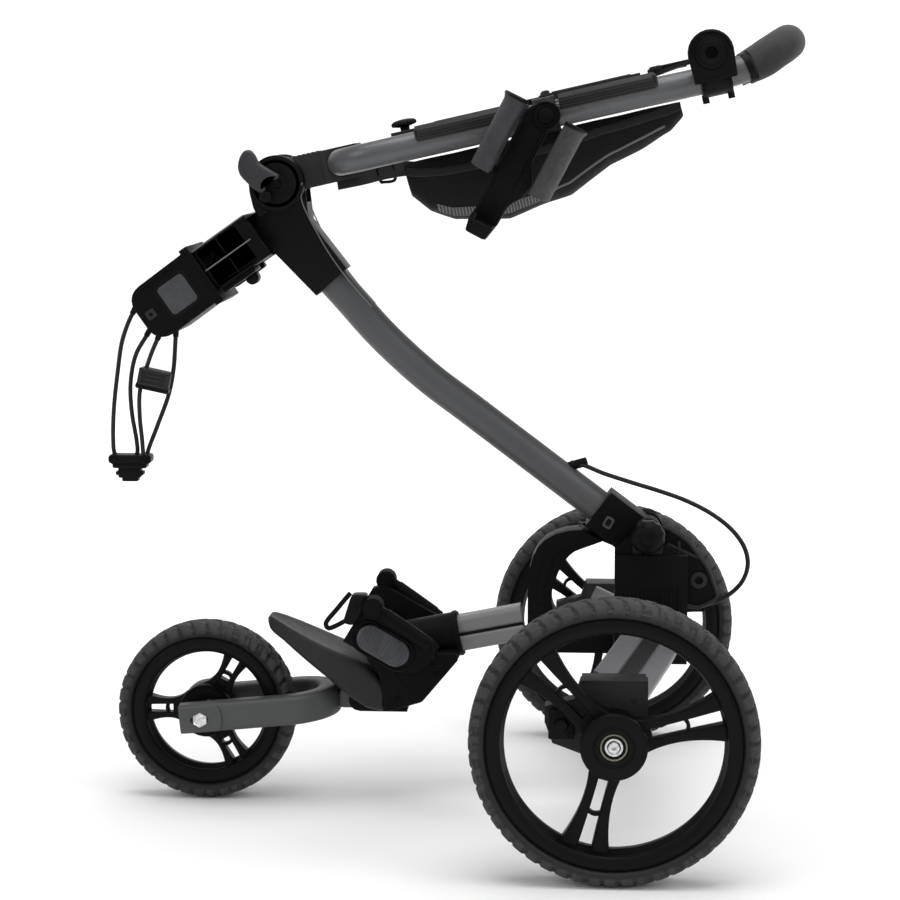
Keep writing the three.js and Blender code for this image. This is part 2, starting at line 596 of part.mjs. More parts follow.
// ---- handle: yoke, tube loop, foam, console, mounts, cup holder, basket ------------------
const handle = new THREE.Group();              // +X runs along the handle from the joint, +Z square to it
handle.position.set(handleJointX, 0, handleJointZ);
handle.rotation.y = -handleAngle * degree;
cart.add(handle);
const tubeTopZ = handleLift + handleTubeRadius;
const tubeSideY = handleHalfWidth + handleTubeRadius;
{
  const half = [
    [handleFront, 6, handleLift], [handleFront, 34, handleLift],
    [handleFront + 5, handleHalfWidth - 25, handleLift],
    [handleFront + 24, handleHalfWidth - 6, handleLift],
    [handleFront + 52, handleHalfWidth, handleLift], [handleLength * 0.44, handleHalfWidth, handleLift],
    [handleLength * 0.67, handleHalfWidth, handleLift],
    [foamStart - 24, handleHalfWidth, handleLift], [foamStart + 10, handleHalfWidth - 2, handleLift + 4],
    [handleLength - 14, handleHalfWidth - 16, handleLift + gripRise * 0.72],
    [handleLength - 2, handleHalfWidth - 41, handleLift + gripRise * 0.95],
    [handleLength, 0, handleLift + gripRise],
  ];
  const loop = [...half, ...mirrorY(half.slice(0, -1)).reverse()];
  piece(handle, 'handle_tube', tubeAlong(loop, handleTubeRadius, 12, 54), 'lightTube');

  const yoke = join(
    barY(0, 0, jointRadius - 1.5, -cheekIn + gap, cheekIn - gap, 28),
    box(0, handleFront + 6, -cheekIn + gap, cheekIn - gap, -13, 23),
    box(handleFront - 20, handleFront + 19, -32, 32, handleLift - 19, handleLift + 17));
  const tubeRoom = bar([handleFront, -40, handleLift], [handleFront, 40, handleLift],
    handleTubeRadius + 1, 24);
  piece(handle, 'handle_yoke', cut(yoke, tubeRoom, barY(0, 0, 5 + gap, -40, 40, 16)), 'charcoal');

  const foamHalf = [
    [foamStart + 10, handleHalfWidth - 2, handleLift + 4],
    [handleLength - 14, handleHalfWidth - 16, handleLift + gripRise * 0.72],
    [handleLength - 2, handleHalfWidth - 41, handleLift + gripRise * 0.95],
    [handleLength, 0, handleLift + gripRise],
  ];
  const foamPath = [...foamHalf, ...mirrorY(foamHalf.slice(0, -1)).reverse()];
  piece(handle, 'foam_grip', tubeAlong(foamPath, foamRadius, 12, 22, handleTubeRadius + 1.8), 'softGrey');
}

// console over the two tubes
const deckTop = 26;
{
  const y = tubeSideY + 0.7;
  const tailEnd = consoleEnd + 41;
  const section = [
    [-y - 3, 10.3], [-y - 3, deckTop - 5], [-y + 2, deckTop], [y - 2, deckTop], [y + 3, deckTop - 5],
    [y + 3, 10.3],
    [y, 10.3], [y, tubeTopZ + 0.6], [handleHalfWidth - handleTubeRadius - 2, tubeTopZ + 0.6],
    [handleHalfWidth - handleTubeRadius - 2, 8], [-handleHalfWidth + handleTubeRadius + 2, 8],
    [-handleHalfWidth + handleTubeRadius + 2, tubeTopZ + 0.6], [-y, tubeTopZ + 0.6], [-y, 10.3],
  ];
  const shape = new THREE.Shape(section.map(([u, v]) => new THREE.Vector2(u, v)));
  const body = new THREE.ExtrudeGeometry(shape, { depth: consoleEnd - consoleStart, bevelEnabled: false });
  body.rotateX(Math.PI / 2).rotateZ(Math.PI / 2).translate(consoleStart, 0, 0);
  const tray = cut(
    join(body, box(consoleStart - 32, consoleStart + 1, -30, 30, tubeTopZ + 0.6, deckTop - 1),
      plate([[consoleEnd - 1, 21.5], [consoleEnd - 1, deckTop], [tailEnd, deckTop + 4],
        [tailEnd, deckTop + 1]],
        -60, 60)),
    box(consoleStart + 20, cupStation - 20.8, -58, 58, 11, deckTop + 1),
    box(consoleEnd - 119, consoleEnd - 17, -54, 54, 11, deckTop + 1),
    box(cupStation - 16, cupStation + 16, -y - 5, -handleHalfWidth + 20, 0, deckTop + 1));
  piece(handle, 'console_tray', tray, 'charcoal');
  const lidStart = consoleEnd - 123;
  const lid = join(box(lidStart, consoleEnd - 13, -58, 58, deckTop + gap, deckTop + 3),
    box(lidStart + 1, lidStart + 5, -12, 12, deckTop + 1, deckTop + 6));
  piece(handle, 'console_lid', lid, 'charcoal');
  const knob = turnedSolid([[0, 0], [5, 0], [5, 4], [14, 5.5], [14, 8.5], [10, 11], [0, 12]], 16);
  piece(handle, 'brake_knob', knob.rotateX(Math.PI / 2).translate(consoleStart - 18, 0,
    deckTop - 1 + gap), 'black');
}

// round clamp that closes on the left side tube
function tubeClamp(x0, x1) {
  const outer = bar([x0, -handleHalfWidth, handleLift], [x1, -handleHalfWidth, handleLift],
    handleTubeRadius + 5, 24);
  const inner = bar([x0 - 1, -handleHalfWidth, handleLift], [x1 + 1, -handleHalfWidth, handleLift],
    handleTubeRadius + 1.5, 24);
  return [outer, inner];
}

// accessory mount: a D-shaped plate with a boss, clamped on the left tube
const mountOut = -tubeSideY - 14;              // outer face of the plate
{
  const [outer, inner] = tubeClamp(mountStation - 16, mountStation + 16);
  const side = new THREE.Shape();
  side.moveTo(mountStation - 22, 3);
  side.lineTo(mountStation + 22, 3);
  side.lineTo(mountStation + 24, 32);
  side.absarc(mountStation, 32, 24, 0, Math.PI, false);
  side.closePath();
  const body = join(outer, plate(side, mountOut, -tubeSideY - 2.5),
    barY(mountStation, 31.6, 13, mountOut - 9, mountOut + 1, 24),
    bar([mountStation - 14, -handleHalfWidth, -17], [mountStation - 14, -handleHalfWidth, -10], 3.4, 12),
    bar([mountStation + 13, -handleHalfWidth, -17], [mountStation + 13, -handleHalfWidth, -10], 3.4, 12));
  piece(handle, 'accessory_mount',
    cut(body, inner, barY(mountStation, 31.6, 6.5, mountOut - 10, mountOut + 6, 16)), 'black');
}

// cup holder: clamp with a boss, body, two sprung jaws
{
  const [outer, inner] = tubeClamp(cupStation - 12, cupStation + 12);
  const plateY = -tubeSideY - 12.5;
  const clamp = cut(join(outer, barY(cupStation, handleLift, 12, -tubeSideY - 12, -tubeSideY - 3, 24),
    barY(cupStation, handleLift, 4.6, plateY - 12, -tubeSideY - 11, 12),
    barY(cupStation, handleLift, 8, plateY - 12, plateY - 8 - gap, 20)), inner);
  piece(handle, 'cup_clamp', clamp, 'black');

  const cup = new THREE.Group();               // -Z runs down the cup holder's axis, from the boss
  cup.position.set(cupStation, 0, handleLift);
  cup.rotation.y = (handleAngle + cupTilt) * degree;
  handle.add(cup);
  const axisY = plateY - 5 - cupRadius;
  const base = cupHeight - 4;
  const spineLeft = -21;
  const spineRight = 10;
  const shoulder = 20.6;                       // the spine widens to meet the rear jaw's hinge
  const spine = plate([
    [spineLeft, -8], [spineRight, -8], [spineRight, -52], [shoulder, -66], [shoulder, -84],
    [spineRight - 2, -100], [spineRight - 2, -base], [spineLeft, -base],
  ], plateY - 8, plateY);
  const boss = barY(0, 0, 15, plateY - 8, plateY, 28);
  const foot = plate([
    [spineLeft, -base + 3], [spineRight - 3, -base + 3], [spineRight - 6, -base - 12],
    [spineLeft + 3, -base - 12],
  ], axisY - 8, plateY);
  piece(cup, 'cup_body', cut(join(spine, boss, foot), barY(0, 0, 5, plateY - 9, plateY + 1, 16)), 'black');
  const jawDrop = 77;
  const jawHinge = shoulder + 6;               // each jaw turns on a short barrel beside the spine
  for (const [side, word] of [[-1, 'front'], [1, 'rear']]) {
    const arc = new THREE.Shape();
    const middle = side < 0 ? Math.PI : 0;
    const spread = 1;
    arc.absarc(0, 0, cupRadius, middle - spread, middle + spread, false);
    arc.absarc(0, 0, cupRadius - 3.2, middle + spread, middle - spread, true);
    arc.closePath();
    const wall = new THREE.ExtrudeGeometry(arc, { depth: jawDrop + 4, bevelEnabled: false,
      curveSegments: 14 });
    const barrel = barY(side * jawHinge, -jawDrop + 5, 5, axisY + 34, plateY - 1, 20);
    piece(cup, `cup_jaw_${word}`, join(wall.translate(0, axisY, -jawDrop), barrel), 'softGrey');
  }
}

// basket slung under the side tubes
{
  const under = handleLift - handleTubeRadius - 1.5;
  const outline = [[146, under], [142, -46], [158, -66], [182, -81], [240, -93], [310, -82], [357, -60],
    [396, -50],
    [427, -40], [444, -26], [440, under]];
  const inner = [[152, under + 1], [148, -44], [162, -61], [185, -75], [240, -87], [308, -76],
    [355, -54], [396, -44],
    [424, -35], [436, -25], [433, under + 1]];
  const half = handleHalfWidth - handleTubeRadius - 7;
  piece(handle, 'basket', cut(join(plate(outline, -half, half)), plate(inner, -half + 4, half - 4)),
    'fabric');
}

// ---- brake cable, from the main tube's gland round to the centre housing -----------------
{
  const route = [[-49, -2, 386], [-34, -6, 383], [-15, -11, 376], [16, -18, 367], [51, -22, 357],
    [77, -24, 348],
    [105, -26, 334], [128, -26, 316], [142, -24, 296], [146, -21, 277], [141, -16, 258], [128, -10, 242],
    [108, -4, 230], [81, 0, 225]];
  piece(cart, 'brake_cable', tubeAlong(route, cableRadius, 8, 36), 'black');
}

// ---- bungee cords hanging from the saddle, with their adjuster and hook ------------------
{
  const frontRoute = [[-527.2, -45, 553], [-533, -45, 541], [-540, -46, 520], [-545, -47, 488],
    [-550, -48, 445],
    [-551, -49, 412], [-550, -49, 399], [-545, -49, 390], [-537, -49, 387.5], [-529, -49, 390],
    [-524.5, -49, 399],
    [-525, -49, 412], [-530, -48, 444], [-531, -47, 475], [-525, -46, 506], [-512, -45, 529]];
  const rearRoute = [[-499, -52, 525.5], [-505, -53, 512], [-512, -55, 492], [-519, -56, 468],
    [-519.5, -57, 440],
    [-517.5, -57, 416], [-516.5, -56.5, 400], [-516, -54, 393], [-515.5, -49, 389.8], [-515, -44, 393],
    [-514, -41.5, 400], [-503, -42, 428], [-490, -43, 462], [-484, -44, 489], [-480.5, -45, 528.5]];
  piece(cart, 'bungee_front', tubeAlong(frontRoute, cordRadius, 8, 40), 'black');
  piece(cart, 'bungee_rear', tubeAlong(rearRoute, cordRadius, 8, 40), 'black');
  const frontRoom = () => tubeAlong(frontRoute, cordRadius + 2 * gap, 8, 40);
  const rearRoom = () => tubeAlong(rearRoute, cordRadius + 2 * gap, 8, 40);

  const adjuster = plate([[-520, 496], [-480, 487], [-482, 463], [-526, 471]], -61, -38);
  piece(cart, 'cord_adjuster', cut(join(adjuster), rearRoom(), box(-508, -492, -70, -30, 474, 482)),
    'black');
  const hook = join(box(-557, -508, -62, -36, 381.5, 398.5), box(-546, -519, -57, -41, 367, 382));
  piece(cart, 'cord_hook', cut(hook, frontRoom(), rearRoom()), 'black');
}

export default cart;
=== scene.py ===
import json
import math

import bmesh
import bpy
import numpy as np
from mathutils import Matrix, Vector


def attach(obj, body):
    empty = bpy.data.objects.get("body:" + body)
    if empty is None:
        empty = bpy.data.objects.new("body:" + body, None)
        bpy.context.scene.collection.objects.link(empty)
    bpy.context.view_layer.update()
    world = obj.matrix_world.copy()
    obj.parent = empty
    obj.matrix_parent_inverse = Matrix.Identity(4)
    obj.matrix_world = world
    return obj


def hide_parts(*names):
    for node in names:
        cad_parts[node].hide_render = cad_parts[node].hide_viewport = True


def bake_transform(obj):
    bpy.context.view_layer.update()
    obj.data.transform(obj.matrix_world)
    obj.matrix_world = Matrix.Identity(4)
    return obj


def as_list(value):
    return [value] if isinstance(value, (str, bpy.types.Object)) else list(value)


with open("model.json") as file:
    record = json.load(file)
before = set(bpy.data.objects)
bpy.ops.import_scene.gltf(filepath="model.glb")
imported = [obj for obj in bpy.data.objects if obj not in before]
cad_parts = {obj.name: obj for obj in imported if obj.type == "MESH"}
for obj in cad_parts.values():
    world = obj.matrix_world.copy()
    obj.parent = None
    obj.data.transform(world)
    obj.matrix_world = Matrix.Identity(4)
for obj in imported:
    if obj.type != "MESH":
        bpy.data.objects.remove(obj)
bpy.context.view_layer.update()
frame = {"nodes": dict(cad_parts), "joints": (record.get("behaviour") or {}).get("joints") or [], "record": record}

print("cart: frame loaded")


# camera, floor and light

studio = {
    "cameraAt": (0.1709, -2.6524, 0.7670),
    "turn": 3.76,            # degrees to the left of +Y
    "down": 7.90,            # degrees below the horizon
    "lens": 96.73,
    "floorReach": 9.0,       # metres of floor round the cart
    "skyWhite": 1.0,
    "skyFill": 0.37,
}


def makeCamera():
    turn, down = math.radians(studio["turn"]), math.radians(studio["down"])
    look = Vector((-math.sin(turn) * math.cos(down), math.cos(turn) * math.cos(down), -math.sin(down)))
    data = bpy.data.cameras.new("studioCamera")
    data.lens = studio["lens"]
    data.sensor_width = 36
    data.clip_end = 200
    camera = bpy.data.objects.new("studioCamera", data)
    camera.location = studio["cameraAt"]
    camera.rotation_euler = look.to_track_quat("-Z", "Y").to_euler()
    bpy.context.scene.collection.objects.link(camera)
    bpy.context.scene.camera = camera


makeCamera()
bpy.context.scene.view_settings.view_transform = "Standard"
print("cart: camera placed")


# places, all in millimetres

def jointAt(name):
    for joint in frame["joints"]:
        if joint["name"] == name:
            return np.array(joint["pos_m"]) * 1000


def seatAt(origin, degrees=0.0):
    # a local frame turned about Y by so many degrees and set down at origin
    c, s = math.cos(math.radians(degrees)), math.sin(math.radians(degrees))
    turn = np.array([[c, 0, s], [0, 1, 0], [-s, 0, c]])

    def place(points):
        return np.asarray(points, float) @ turn.T + np.asarray(origin, float)
    return place


slopes = {"handle": 12.7, "beam": 35.2, "cup": 27.5}    # degrees
rearAxle = jointAt("rear_wheel_left_spin")
handleJoint = jointAt("handle_fold")
cupJoint = jointAt("cup_tilt")
cartSeat = seatAt((rearAxle[0], 0, 0))
handleSeat = seatAt((handleJoint[0], 0, handleJoint[2]), -slopes["handle"])
beamSeat = seatAt((handleJoint[0] - 16.5, 0, handleJoint[2] - 52.5), -180 - slopes["beam"])
cupSeat = seatAt((cupJoint[0], 0, cupJoint[2]), slopes["cup"])


# shells: each returns (points, faces) with faces as index arrays

def gridFaces(rows, columns, closeRows=False, closeColumns=True):
    # one four-sided face between each pair of neighbours in a grid of points
    r = np.arange(rows if closeRows else rows - 1)
    c = np.arange(columns if closeColumns else columns - 1)
    r, c = np.meshgrid(r, c, indexing="ij")
    r2, c2 = (r + 1) % rows, (c + 1) % columns
    quads = np.stack([r * columns + c, r * columns + c2, r2 * columns + c2, r2 * columns + c], -1)
    return quads.reshape(-1, 4)


def loft(rings, caps=True, closeRows=False, closeColumns=True):
    # rings: (rows, columns, 3); the first and last rings are closed by one flat face each
    rows, columns = rings.shape[:2]
    faces = [gridFaces(rows, columns, closeRows, closeColumns)]
    if caps and not closeRows:
        ends = np.arange(columns)
        faces.append(ends[::-1][None, :])
        faces.append((ends + (rows - 1) * columns)[None, :])
    return rings.reshape(-1, 3), faces


def turned(profile, segments=96, centre=(0, 0, 0), closed=False):
    # a profile of (radius, y) carried round the Y axis: x = r cos a, z = r sin a
    profile = np.asarray(profile, float)
    a = np.arange(segments) * 2 * np.pi / segments
    rings = np.stack([profile[:, :1] * np.cos(a), np.repeat(profile[:, 1:], segments, 1),
                      profile[:, :1] * np.sin(a)], -1) + np.asarray(centre, float)
    return loft(rings, caps=not closed, closeRows=closed)


def softCorners(points, radius, steps=5, closed=True):
    # each corner becomes a quadratic curve that leaves its sides at most radius from the corner
    p = np.asarray(points, float)
    before, after = np.roll(p, 1, 0) - p, np.roll(p, -1, 0) - p
    lb, la = np.linalg.norm(before, axis=1), np.linalg.norm(after, axis=1)
    reach = np.minimum(np.asarray(radius, float) * np.ones(len(p)), 0.45 * np.minimum(lb, la))
    a = p + before / lb[:, None] * reach[:, None]
    b = p + after / la[:, None] * reach[:, None]
    t = np.linspace(0, 1, steps)[None, :, None]
    curve = (1 - t) ** 2 * a[:, None] + 2 * t * (1 - t) * p[:, None] + t ** 2 * b[:, None]
    if not closed:
        curve = np.concatenate([p[None, :1].repeat(1, 0), curve[1:-1].reshape(1, -1, p.shape[1]),
                                p[None, -1:]], 1)
    return curve.reshape(-1, p.shape[1])


def inset(outline, amount):
    # every side of a closed outline moved in by amount along its own normal
    ahead = np.roll(outline, -1, 0) - outline
    behind = outline - np.roll(outline, 1, 0)
    ahead /= np.linalg.norm(ahead, axis=1)[:, None] + 1e-9
    behind /= np.linalg.norm(behind, axis=1)[:, None] + 1e-9
    normal = np.stack([-ahead[:, 1] - behind[:, 1], ahead[:, 0] + behind[:, 0]], -1)
    size = np.linalg.norm(normal, axis=1)[:, None] + 1e-9
    normal = normal / size / np.clip(size / 2, 0.5, 1)
    return outline + normal * amount


def slab(outline, y0, y1, edge=1.5, corner=3.0, steps=4):
    # a side outline (x, z) given a thickness in y; its rims are quarter rounds of size edge
    flat = softCorners(outline, corner) if corner > 0 else np.asarray(outline, float)
    x, z = flat[:, 0], flat[:, 1]
    if np.sum(x * np.roll(z, -1) - np.roll(x, -1) * z) < 0:
        flat = flat[::-1]
    edge = min(edge, abs(y1 - y0) * 0.45)
    a = np.linspace(0, np.pi / 2, steps)
    ins = np.concatenate([edge * (1 - np.sin(a)), edge * (1 - np.cos(a))])
    ys = np.concatenate([y0 + edge * (1 - np.cos(a)), y1 - edge * (1 - np.sin(a))])
    rings = np.stack([np.insert(inset(flat, i), 1, y, axis=1) for i, y in zip(ins, ys)])
    return loft(rings)


def block(x0, x1, y0, y1, z0, z1, edge=1.5, corner=2.0):
    return slab([(x0, z0), (x1, z0), (x1, z1), (x0, z1)], y0, y1, edge, corner)


def smoothPath(points, count):
    # centripetal Catmull-Rom curve through the points, then evenly spaced along its length
    p = np.asarray(points, float)
    p = np.vstack([2 * p[0] - p[1], p, 2 * p[-1] - p[-2]])
    p0, p1, p2, p3 = p[:-3], p[1:-2], p[2:-1], p[3:]
    gaps = [np.maximum(np.linalg.norm(b - a, axis=1), 1e-6)[:, None] ** 0.5
            for a, b in ((p0, p1), (p1, p2), (p2, p3))]
    m1 = ((p1 - p0) / gaps[0] - (p2 - p0) / (gaps[0] + gaps[1]) + (p2 - p1) / gaps[1]) * gaps[1]
    m2 = ((p2 - p1) / gaps[1] - (p3 - p1) / (gaps[1] + gaps[2]) + (p3 - p2) / gaps[2]) * gaps[1]
    t = np.linspace(0, 1, 24, endpoint=False)[None, :, None]
    a, b = p1[:, None], p2[:, None]
    m1, m2 = m1[:, None], m2[:, None]
    line = (2 * t ** 3 - 3 * t ** 2 + 1) * a + (t ** 3 - 2 * t ** 2 + t) * m1 \
        + (-2 * t ** 3 + 3 * t ** 2) * b + (t ** 3 - t ** 2) * m2
    line = np.vstack([line.reshape(-1, p.shape[1]), p[-2]])
    far = np.concatenate([[0], np.cumsum(np.linalg.norm(np.diff(line, axis=0), axis=1))])
    at = np.linspace(0, far[-1], count)
    return np.stack([np.interp(at, far, line[:, k]) for k in range(p.shape[1])], -1)


def carried(path, section, scale=None, roundEnds=0.0, up=(0, 1, 0)):
    # a closed section (u, v) carried along a path; its v side starts towards up and turns no more
    # than the path does; round ends shrink the section over a quarter circle
    path, section = np.asarray(path, float), np.asarray(section, float)
    way = np.gradient(path, axis=0)
    way /= np.linalg.norm(way, axis=1)[:, None]
    side = np.empty_like(path)
    guide = np.asarray(up, float)
    for i, w in enumerate(way):
        guide = guide - w * (guide @ w)
        guide /= np.linalg.norm(guide)
        side[i] = guide
    other = np.cross(way, side)
    size = np.ones(len(path)) if scale is None else np.asarray(scale, float)
    if roundEnds > 0:
        a = np.linspace(0, np.pi / 2, 6)[:-1]
        back, small = roundEnds * (1 - np.sin(a)), np.cos(np.pi / 2 - a)
        reach = np.abs(section).max()
        shrink = (reach - roundEnds + roundEnds * small) / reach
        first = path[0] + way[0] * back[:, None]
        last = path[-1] - way[-1] * back[::-1][:, None]
        keepFirst = np.linalg.norm(path - path[0], axis=1) > roundEnds
        keepLast = np.linalg.norm(path - path[-1], axis=1) > roundEnds
        keep = keepFirst & keepLast
        path = np.vstack([first, path[keep], last])
        side = np.vstack([np.repeat(side[:1], 5, 0), side[keep], np.repeat(side[-1:], 5, 0)])
        other = np.vstack([np.repeat(other[:1], 5, 0), other[keep], np.repeat(other[-1:], 5, 0)])
        size = np.concatenate([size[0] * shrink, size[keep], size[-1] * shrink[::-1]])
    rings = path[:, None] + size[:, None, None] * (
        section[None, :, :1] * other[:, None] + section[None, :, 1:] * side[:, None])
    return loft(rings)


def circle(radius, sides=32):
    a = np.arange(sides) * 2 * np.pi / sides
    return np.stack([radius * np.cos(a), radius * np.sin(a)], -1)


def roundedSquare(halfU, halfV, power=5.0, sides=32):
    # |u/a|^n + |v/b|^n = 1
    a = np.arange(sides) * 2 * np.pi / sides + np.pi / sides
    c, s = np.cos(a), np.sin(a)
    return np.stack([halfU * np.sign(c) * np.abs(c) ** (2 / power),
                     halfV * np.sign(s) * np.abs(s) ** (2 / power)], -1)


def rod(start, end, radius, sides=32, edge=0.6):
    start, end = np.asarray(start, float), np.asarray(end, float)
    t = np.linspace(0, 1, 3)[:, None]
    way = end - start
    up = (1, 0, 0) if abs(way[0]) < 0.8 * np.linalg.norm(way) else (0, 0, 1)
    return carried(start + way * t, circle(radius, sides), roundEnds=edge, up=up)


def screwHead(centre, side, radius=3.4, height=1.6):
    # a domed head with a hexagonal socket, its top facing -Y (side -1) or +Y (side 1)
    y = np.array([0.0, 0.6, 0.85, 1.0, 1.0]) * height
    r = np.array([1.0, 1.0, 0.88, 0.68, 0.5]) * radius
    a = np.arange(24) * 2 * np.pi / 24
    hexagon = 0.46 * radius / np.cos((a + np.pi / 6) % (np.pi / 3) - np.pi / 6)
    radii = np.vstack([r[:, None] * np.ones(24), hexagon, hexagon])
    ys = np.concatenate([y, [height, 0.3 * height]])[:, None] * np.ones(24)
    rings = np.stack([radii * np.cos(a), side * ys, radii * np.sin(a)], -1)
    return loft(rings + np.asarray(centre, float))


def moved(shell, place):
    points, faces = shell
    return place(points), faces


# pieces

def fillMesh(mesh, shells):
    points, loops, starts, paints, maps = [], [], [], [], []
    offset = filled = 0
    for shell in shells:
        before = filled
        verts, faces = shell[0], shell[1]
        paint = shell[2] if len(shell) > 2 else 0
        for group in faces:
            group = np.asarray(group)
            loops.append((group + offset).ravel())
            starts.append(filled + np.arange(len(group)) * group.shape[1])
            paints.append(np.full(len(group), paint))
            filled += group.size
        maps.append(shell[3] if len(shell) > 3 else np.zeros((filled - before, 2)))
        points.append(verts)
        offset += len(verts)
    points, loops = np.vstack(points) / 1000, np.concatenate(loops)
    starts, paints = np.concatenate(starts), np.concatenate(paints)
    mesh.vertices.add(len(points))
    mesh.vertices.foreach_set("co", points.astype(np.float32).ravel())
    mesh.loops.add(len(loops))
    mesh.loops.foreach_set("vertex_index", loops.astype(np.int32))
    mesh.polygons.add(len(starts))
    mesh.polygons.foreach_set("loop_start", starts.astype(np.int32))
    mesh.polygons.foreach_set("material_index", paints.astype(np.int32))
    mesh.update(calc_edges=True)
    if any(len(shell) > 3 for shell in shells):
        mesh.uv_layers.new(name="weave").data.foreach_set("uv", np.vstack(maps).astype(np.float32).ravel())


def faceOut(mesh, angle):
    work = bmesh.new()
    work.from_mesh(mesh)
    bmesh.ops.remove_doubles(work, verts=work.verts, dist=1e-6)
    bmesh.ops.recalc_face_normals(work, faces=work.faces)
    work.to_mesh(mesh)
    work.free()
    mesh.shade_smooth()
    mesh.set_sharp_from_angle(angle=math.radians(angle))


def addPiece(name, shells, paints, body, replaced=(), angle=38, seat=cartSeat):
    mesh = bpy.data.meshes.new(name)
    fillMesh(mesh, [(seat(s[0]), *s[1:]) for s in shells])
    for paint in paints if isinstance(paints, (list, tuple)) else [paints]:
        mesh.materials.append(paint)
    faceOut(mesh, angle)
    piece = bpy.data.objects.new(name, mesh)
    bpy.context.scene.collection.objects.link(piece)
    if isinstance(body, str):
        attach(piece, body)
    if replaced:
        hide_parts(*([replaced] if isinstance(replaced, str) else replaced))
    return piece


bodyOf = {node: body for body, nodes in frame["record"]["behaviour"]["bodies"].items() for node in nodes}


def moulded(node, paint, edge=1.4, extra=(), extraPaints=(), seat=cartSeat, angle=40, segments=3):
    # the node's own solid, copied, its flat faces made whole, and every sharp edge rounded off
    mesh = frame["nodes"][node].data.copy()
    mesh.name = node + "_moulding"
    work = bmesh.new()
    work.from_mesh(mesh)
    bmesh.ops.remove_doubles(work, verts=work.verts, dist=2e-5)
    bmesh.ops.dissolve_limit(work, angle_limit=math.radians(0.6), verts=work.verts, edges=work.edges)
    bmesh.ops.recalc_face_normals(work, faces=work.faces)
    work.to_mesh(mesh)
    work.free()
    mesh.materials.clear()
    mesh.materials.append(paint)
    piece = bpy.data.objects.new(node + "_moulding", mesh)
    bpy.context.scene.collection.objects.link(piece)
    soften = piece.modifiers.new("edges", "BEVEL")
    soften.width = edge / 1000
    soften.segments = segments
    soften.limit_method = "ANGLE"
    soften.angle_limit = math.radians(28)
    soften.use_clamp_overlap = True
    soften.miter_outer = "MITER_ARC"
    bpy.context.view_layer.update()
    baked = bpy.data.meshes.new_from_object(piece.evaluated_get(bpy.context.evaluated_depsgraph_get()))
    piece.modifiers.clear()
    piece.data = baked
    baked.shade_smooth()
    baked.set_sharp_from_angle(angle=math.radians(angle))
    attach(piece, bodyOf[node])
    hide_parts(node)
    if extra:
        addPiece(node + "_detail", list(extra), list(extraPaints) or [paint], bodyOf[node],
                 seat=seat, angle=angle)
    return piece


# finishes

def newFinish(name, colour, roughness, metallic=0.0, specular=0.5):
    finish = bpy.data.materials.new(name)
    finish.use_nodes = True
    shader = finish.node_tree.nodes["Principled BSDF"]
    shader.inputs["Base Color"].default_value = (*colour, 1)
    shader.inputs["Roughness"].default_value = roughness
    shader.inputs["Metallic"].default_value = metallic
    shader.inputs["Specular IOR Level"].default_value = specular
    return finish, finish.node_tree, shader


def node(tree, kind, **values):
    made = tree.nodes.new(kind)
    for key, value in values.items():
        if key in made.inputs:
            made.inputs[key].default_value = value
        else:
            setattr(made, key, value)
    return made


def coordinates(tree, stretch=(1, 1, 1), source="Object"):
    place = node(tree, "ShaderNodeTexCoord")
    mapping = node(tree, "ShaderNodeMapping")
    mapping.inputs["Scale"].default_value = stretch
    tree.links.new(place.outputs[source], mapping.inputs["Vector"])
    return mapping.outputs["Vector"]


def noiseAt(tree, where, scale, detail=3.0, roughness=0.55):
    noise = node(tree, "ShaderNodeTexNoise", Scale=scale, Detail=detail, Roughness=roughness)
    tree.links.new(where, noise.inputs["Vector"])
    return noise.outputs["Fac"]


def ranged(tree, value, low, high, fromLow=0.0, fromHigh=1.0):
    made = node(tree, "ShaderNodeMapRange")
    made.inputs["From Min"].default_value = fromLow
    made.inputs["From Max"].default_value = fromHigh
    made.inputs["To Min"].default_value = low
    made.inputs["To Max"].default_value = high
    tree.links.new(value, made.inputs["Value"])
    return made.outputs["Result"]


def maths(tree, operation, a, b=None):
    made = node(tree, "ShaderNodeMath", operation=operation)
    for socket, value in zip(made.inputs, (a, b)):
        if value is None:
            continue
        if isinstance(value, (int, float)):
            socket.default_value = value
        else:
            tree.links.new(value, socket)
    return made.outputs["Value"]


def colourBetween(tree, value, dark, light):
    mix = node(tree, "ShaderNodeMix", data_type="RGBA")
    mix.inputs[6].default_value = (*dark, 1)
    mix.inputs[7].default_value = (*light, 1)
    tree.links.new(value, mix.inputs[0])
    return mix.outputs[2]


def bumpFrom(tree, shader, height, strength, distance):
    bump = node(tree, "ShaderNodeBump", Strength=strength, Distance=distance)
    tree.links.new(height, bump.inputs["Height"])
    tree.links.new(bump.outputs["Normal"], shader.inputs["Normal"])
    return bump


def grainedPlastic(name, dark, light, roughness=(0.42, 0.56), grain=2600, specular=0.3):
    # moulded grain, slow mottling and faint rub marks on the roughness
    finish, tree, shader = newFinish(name, light, sum(roughness) / 2, specular=specular)
    at = coordinates(tree)
    mottle = noiseAt(tree, at, 14, 4)
    tree.links.new(colourBetween(tree, mottle, dark, light), shader.inputs["Base Color"])
    rub = noiseAt(tree, at, 75, 6, 0.7)
    tree.links.new(ranged(tree, rub, *roughness, 0.3, 0.7), shader.inputs["Roughness"])
    cells = node(tree, "ShaderNodeTexVoronoi", Scale=grain)
    tree.links.new(at, cells.inputs["Vector"])
    fine = maths(tree, "ADD", cells.outputs["Distance"], noiseAt(tree, at, grain * 0.5, 2))
    bumpFrom(tree, shader, fine, 0.22, 0.00012)
    return finish


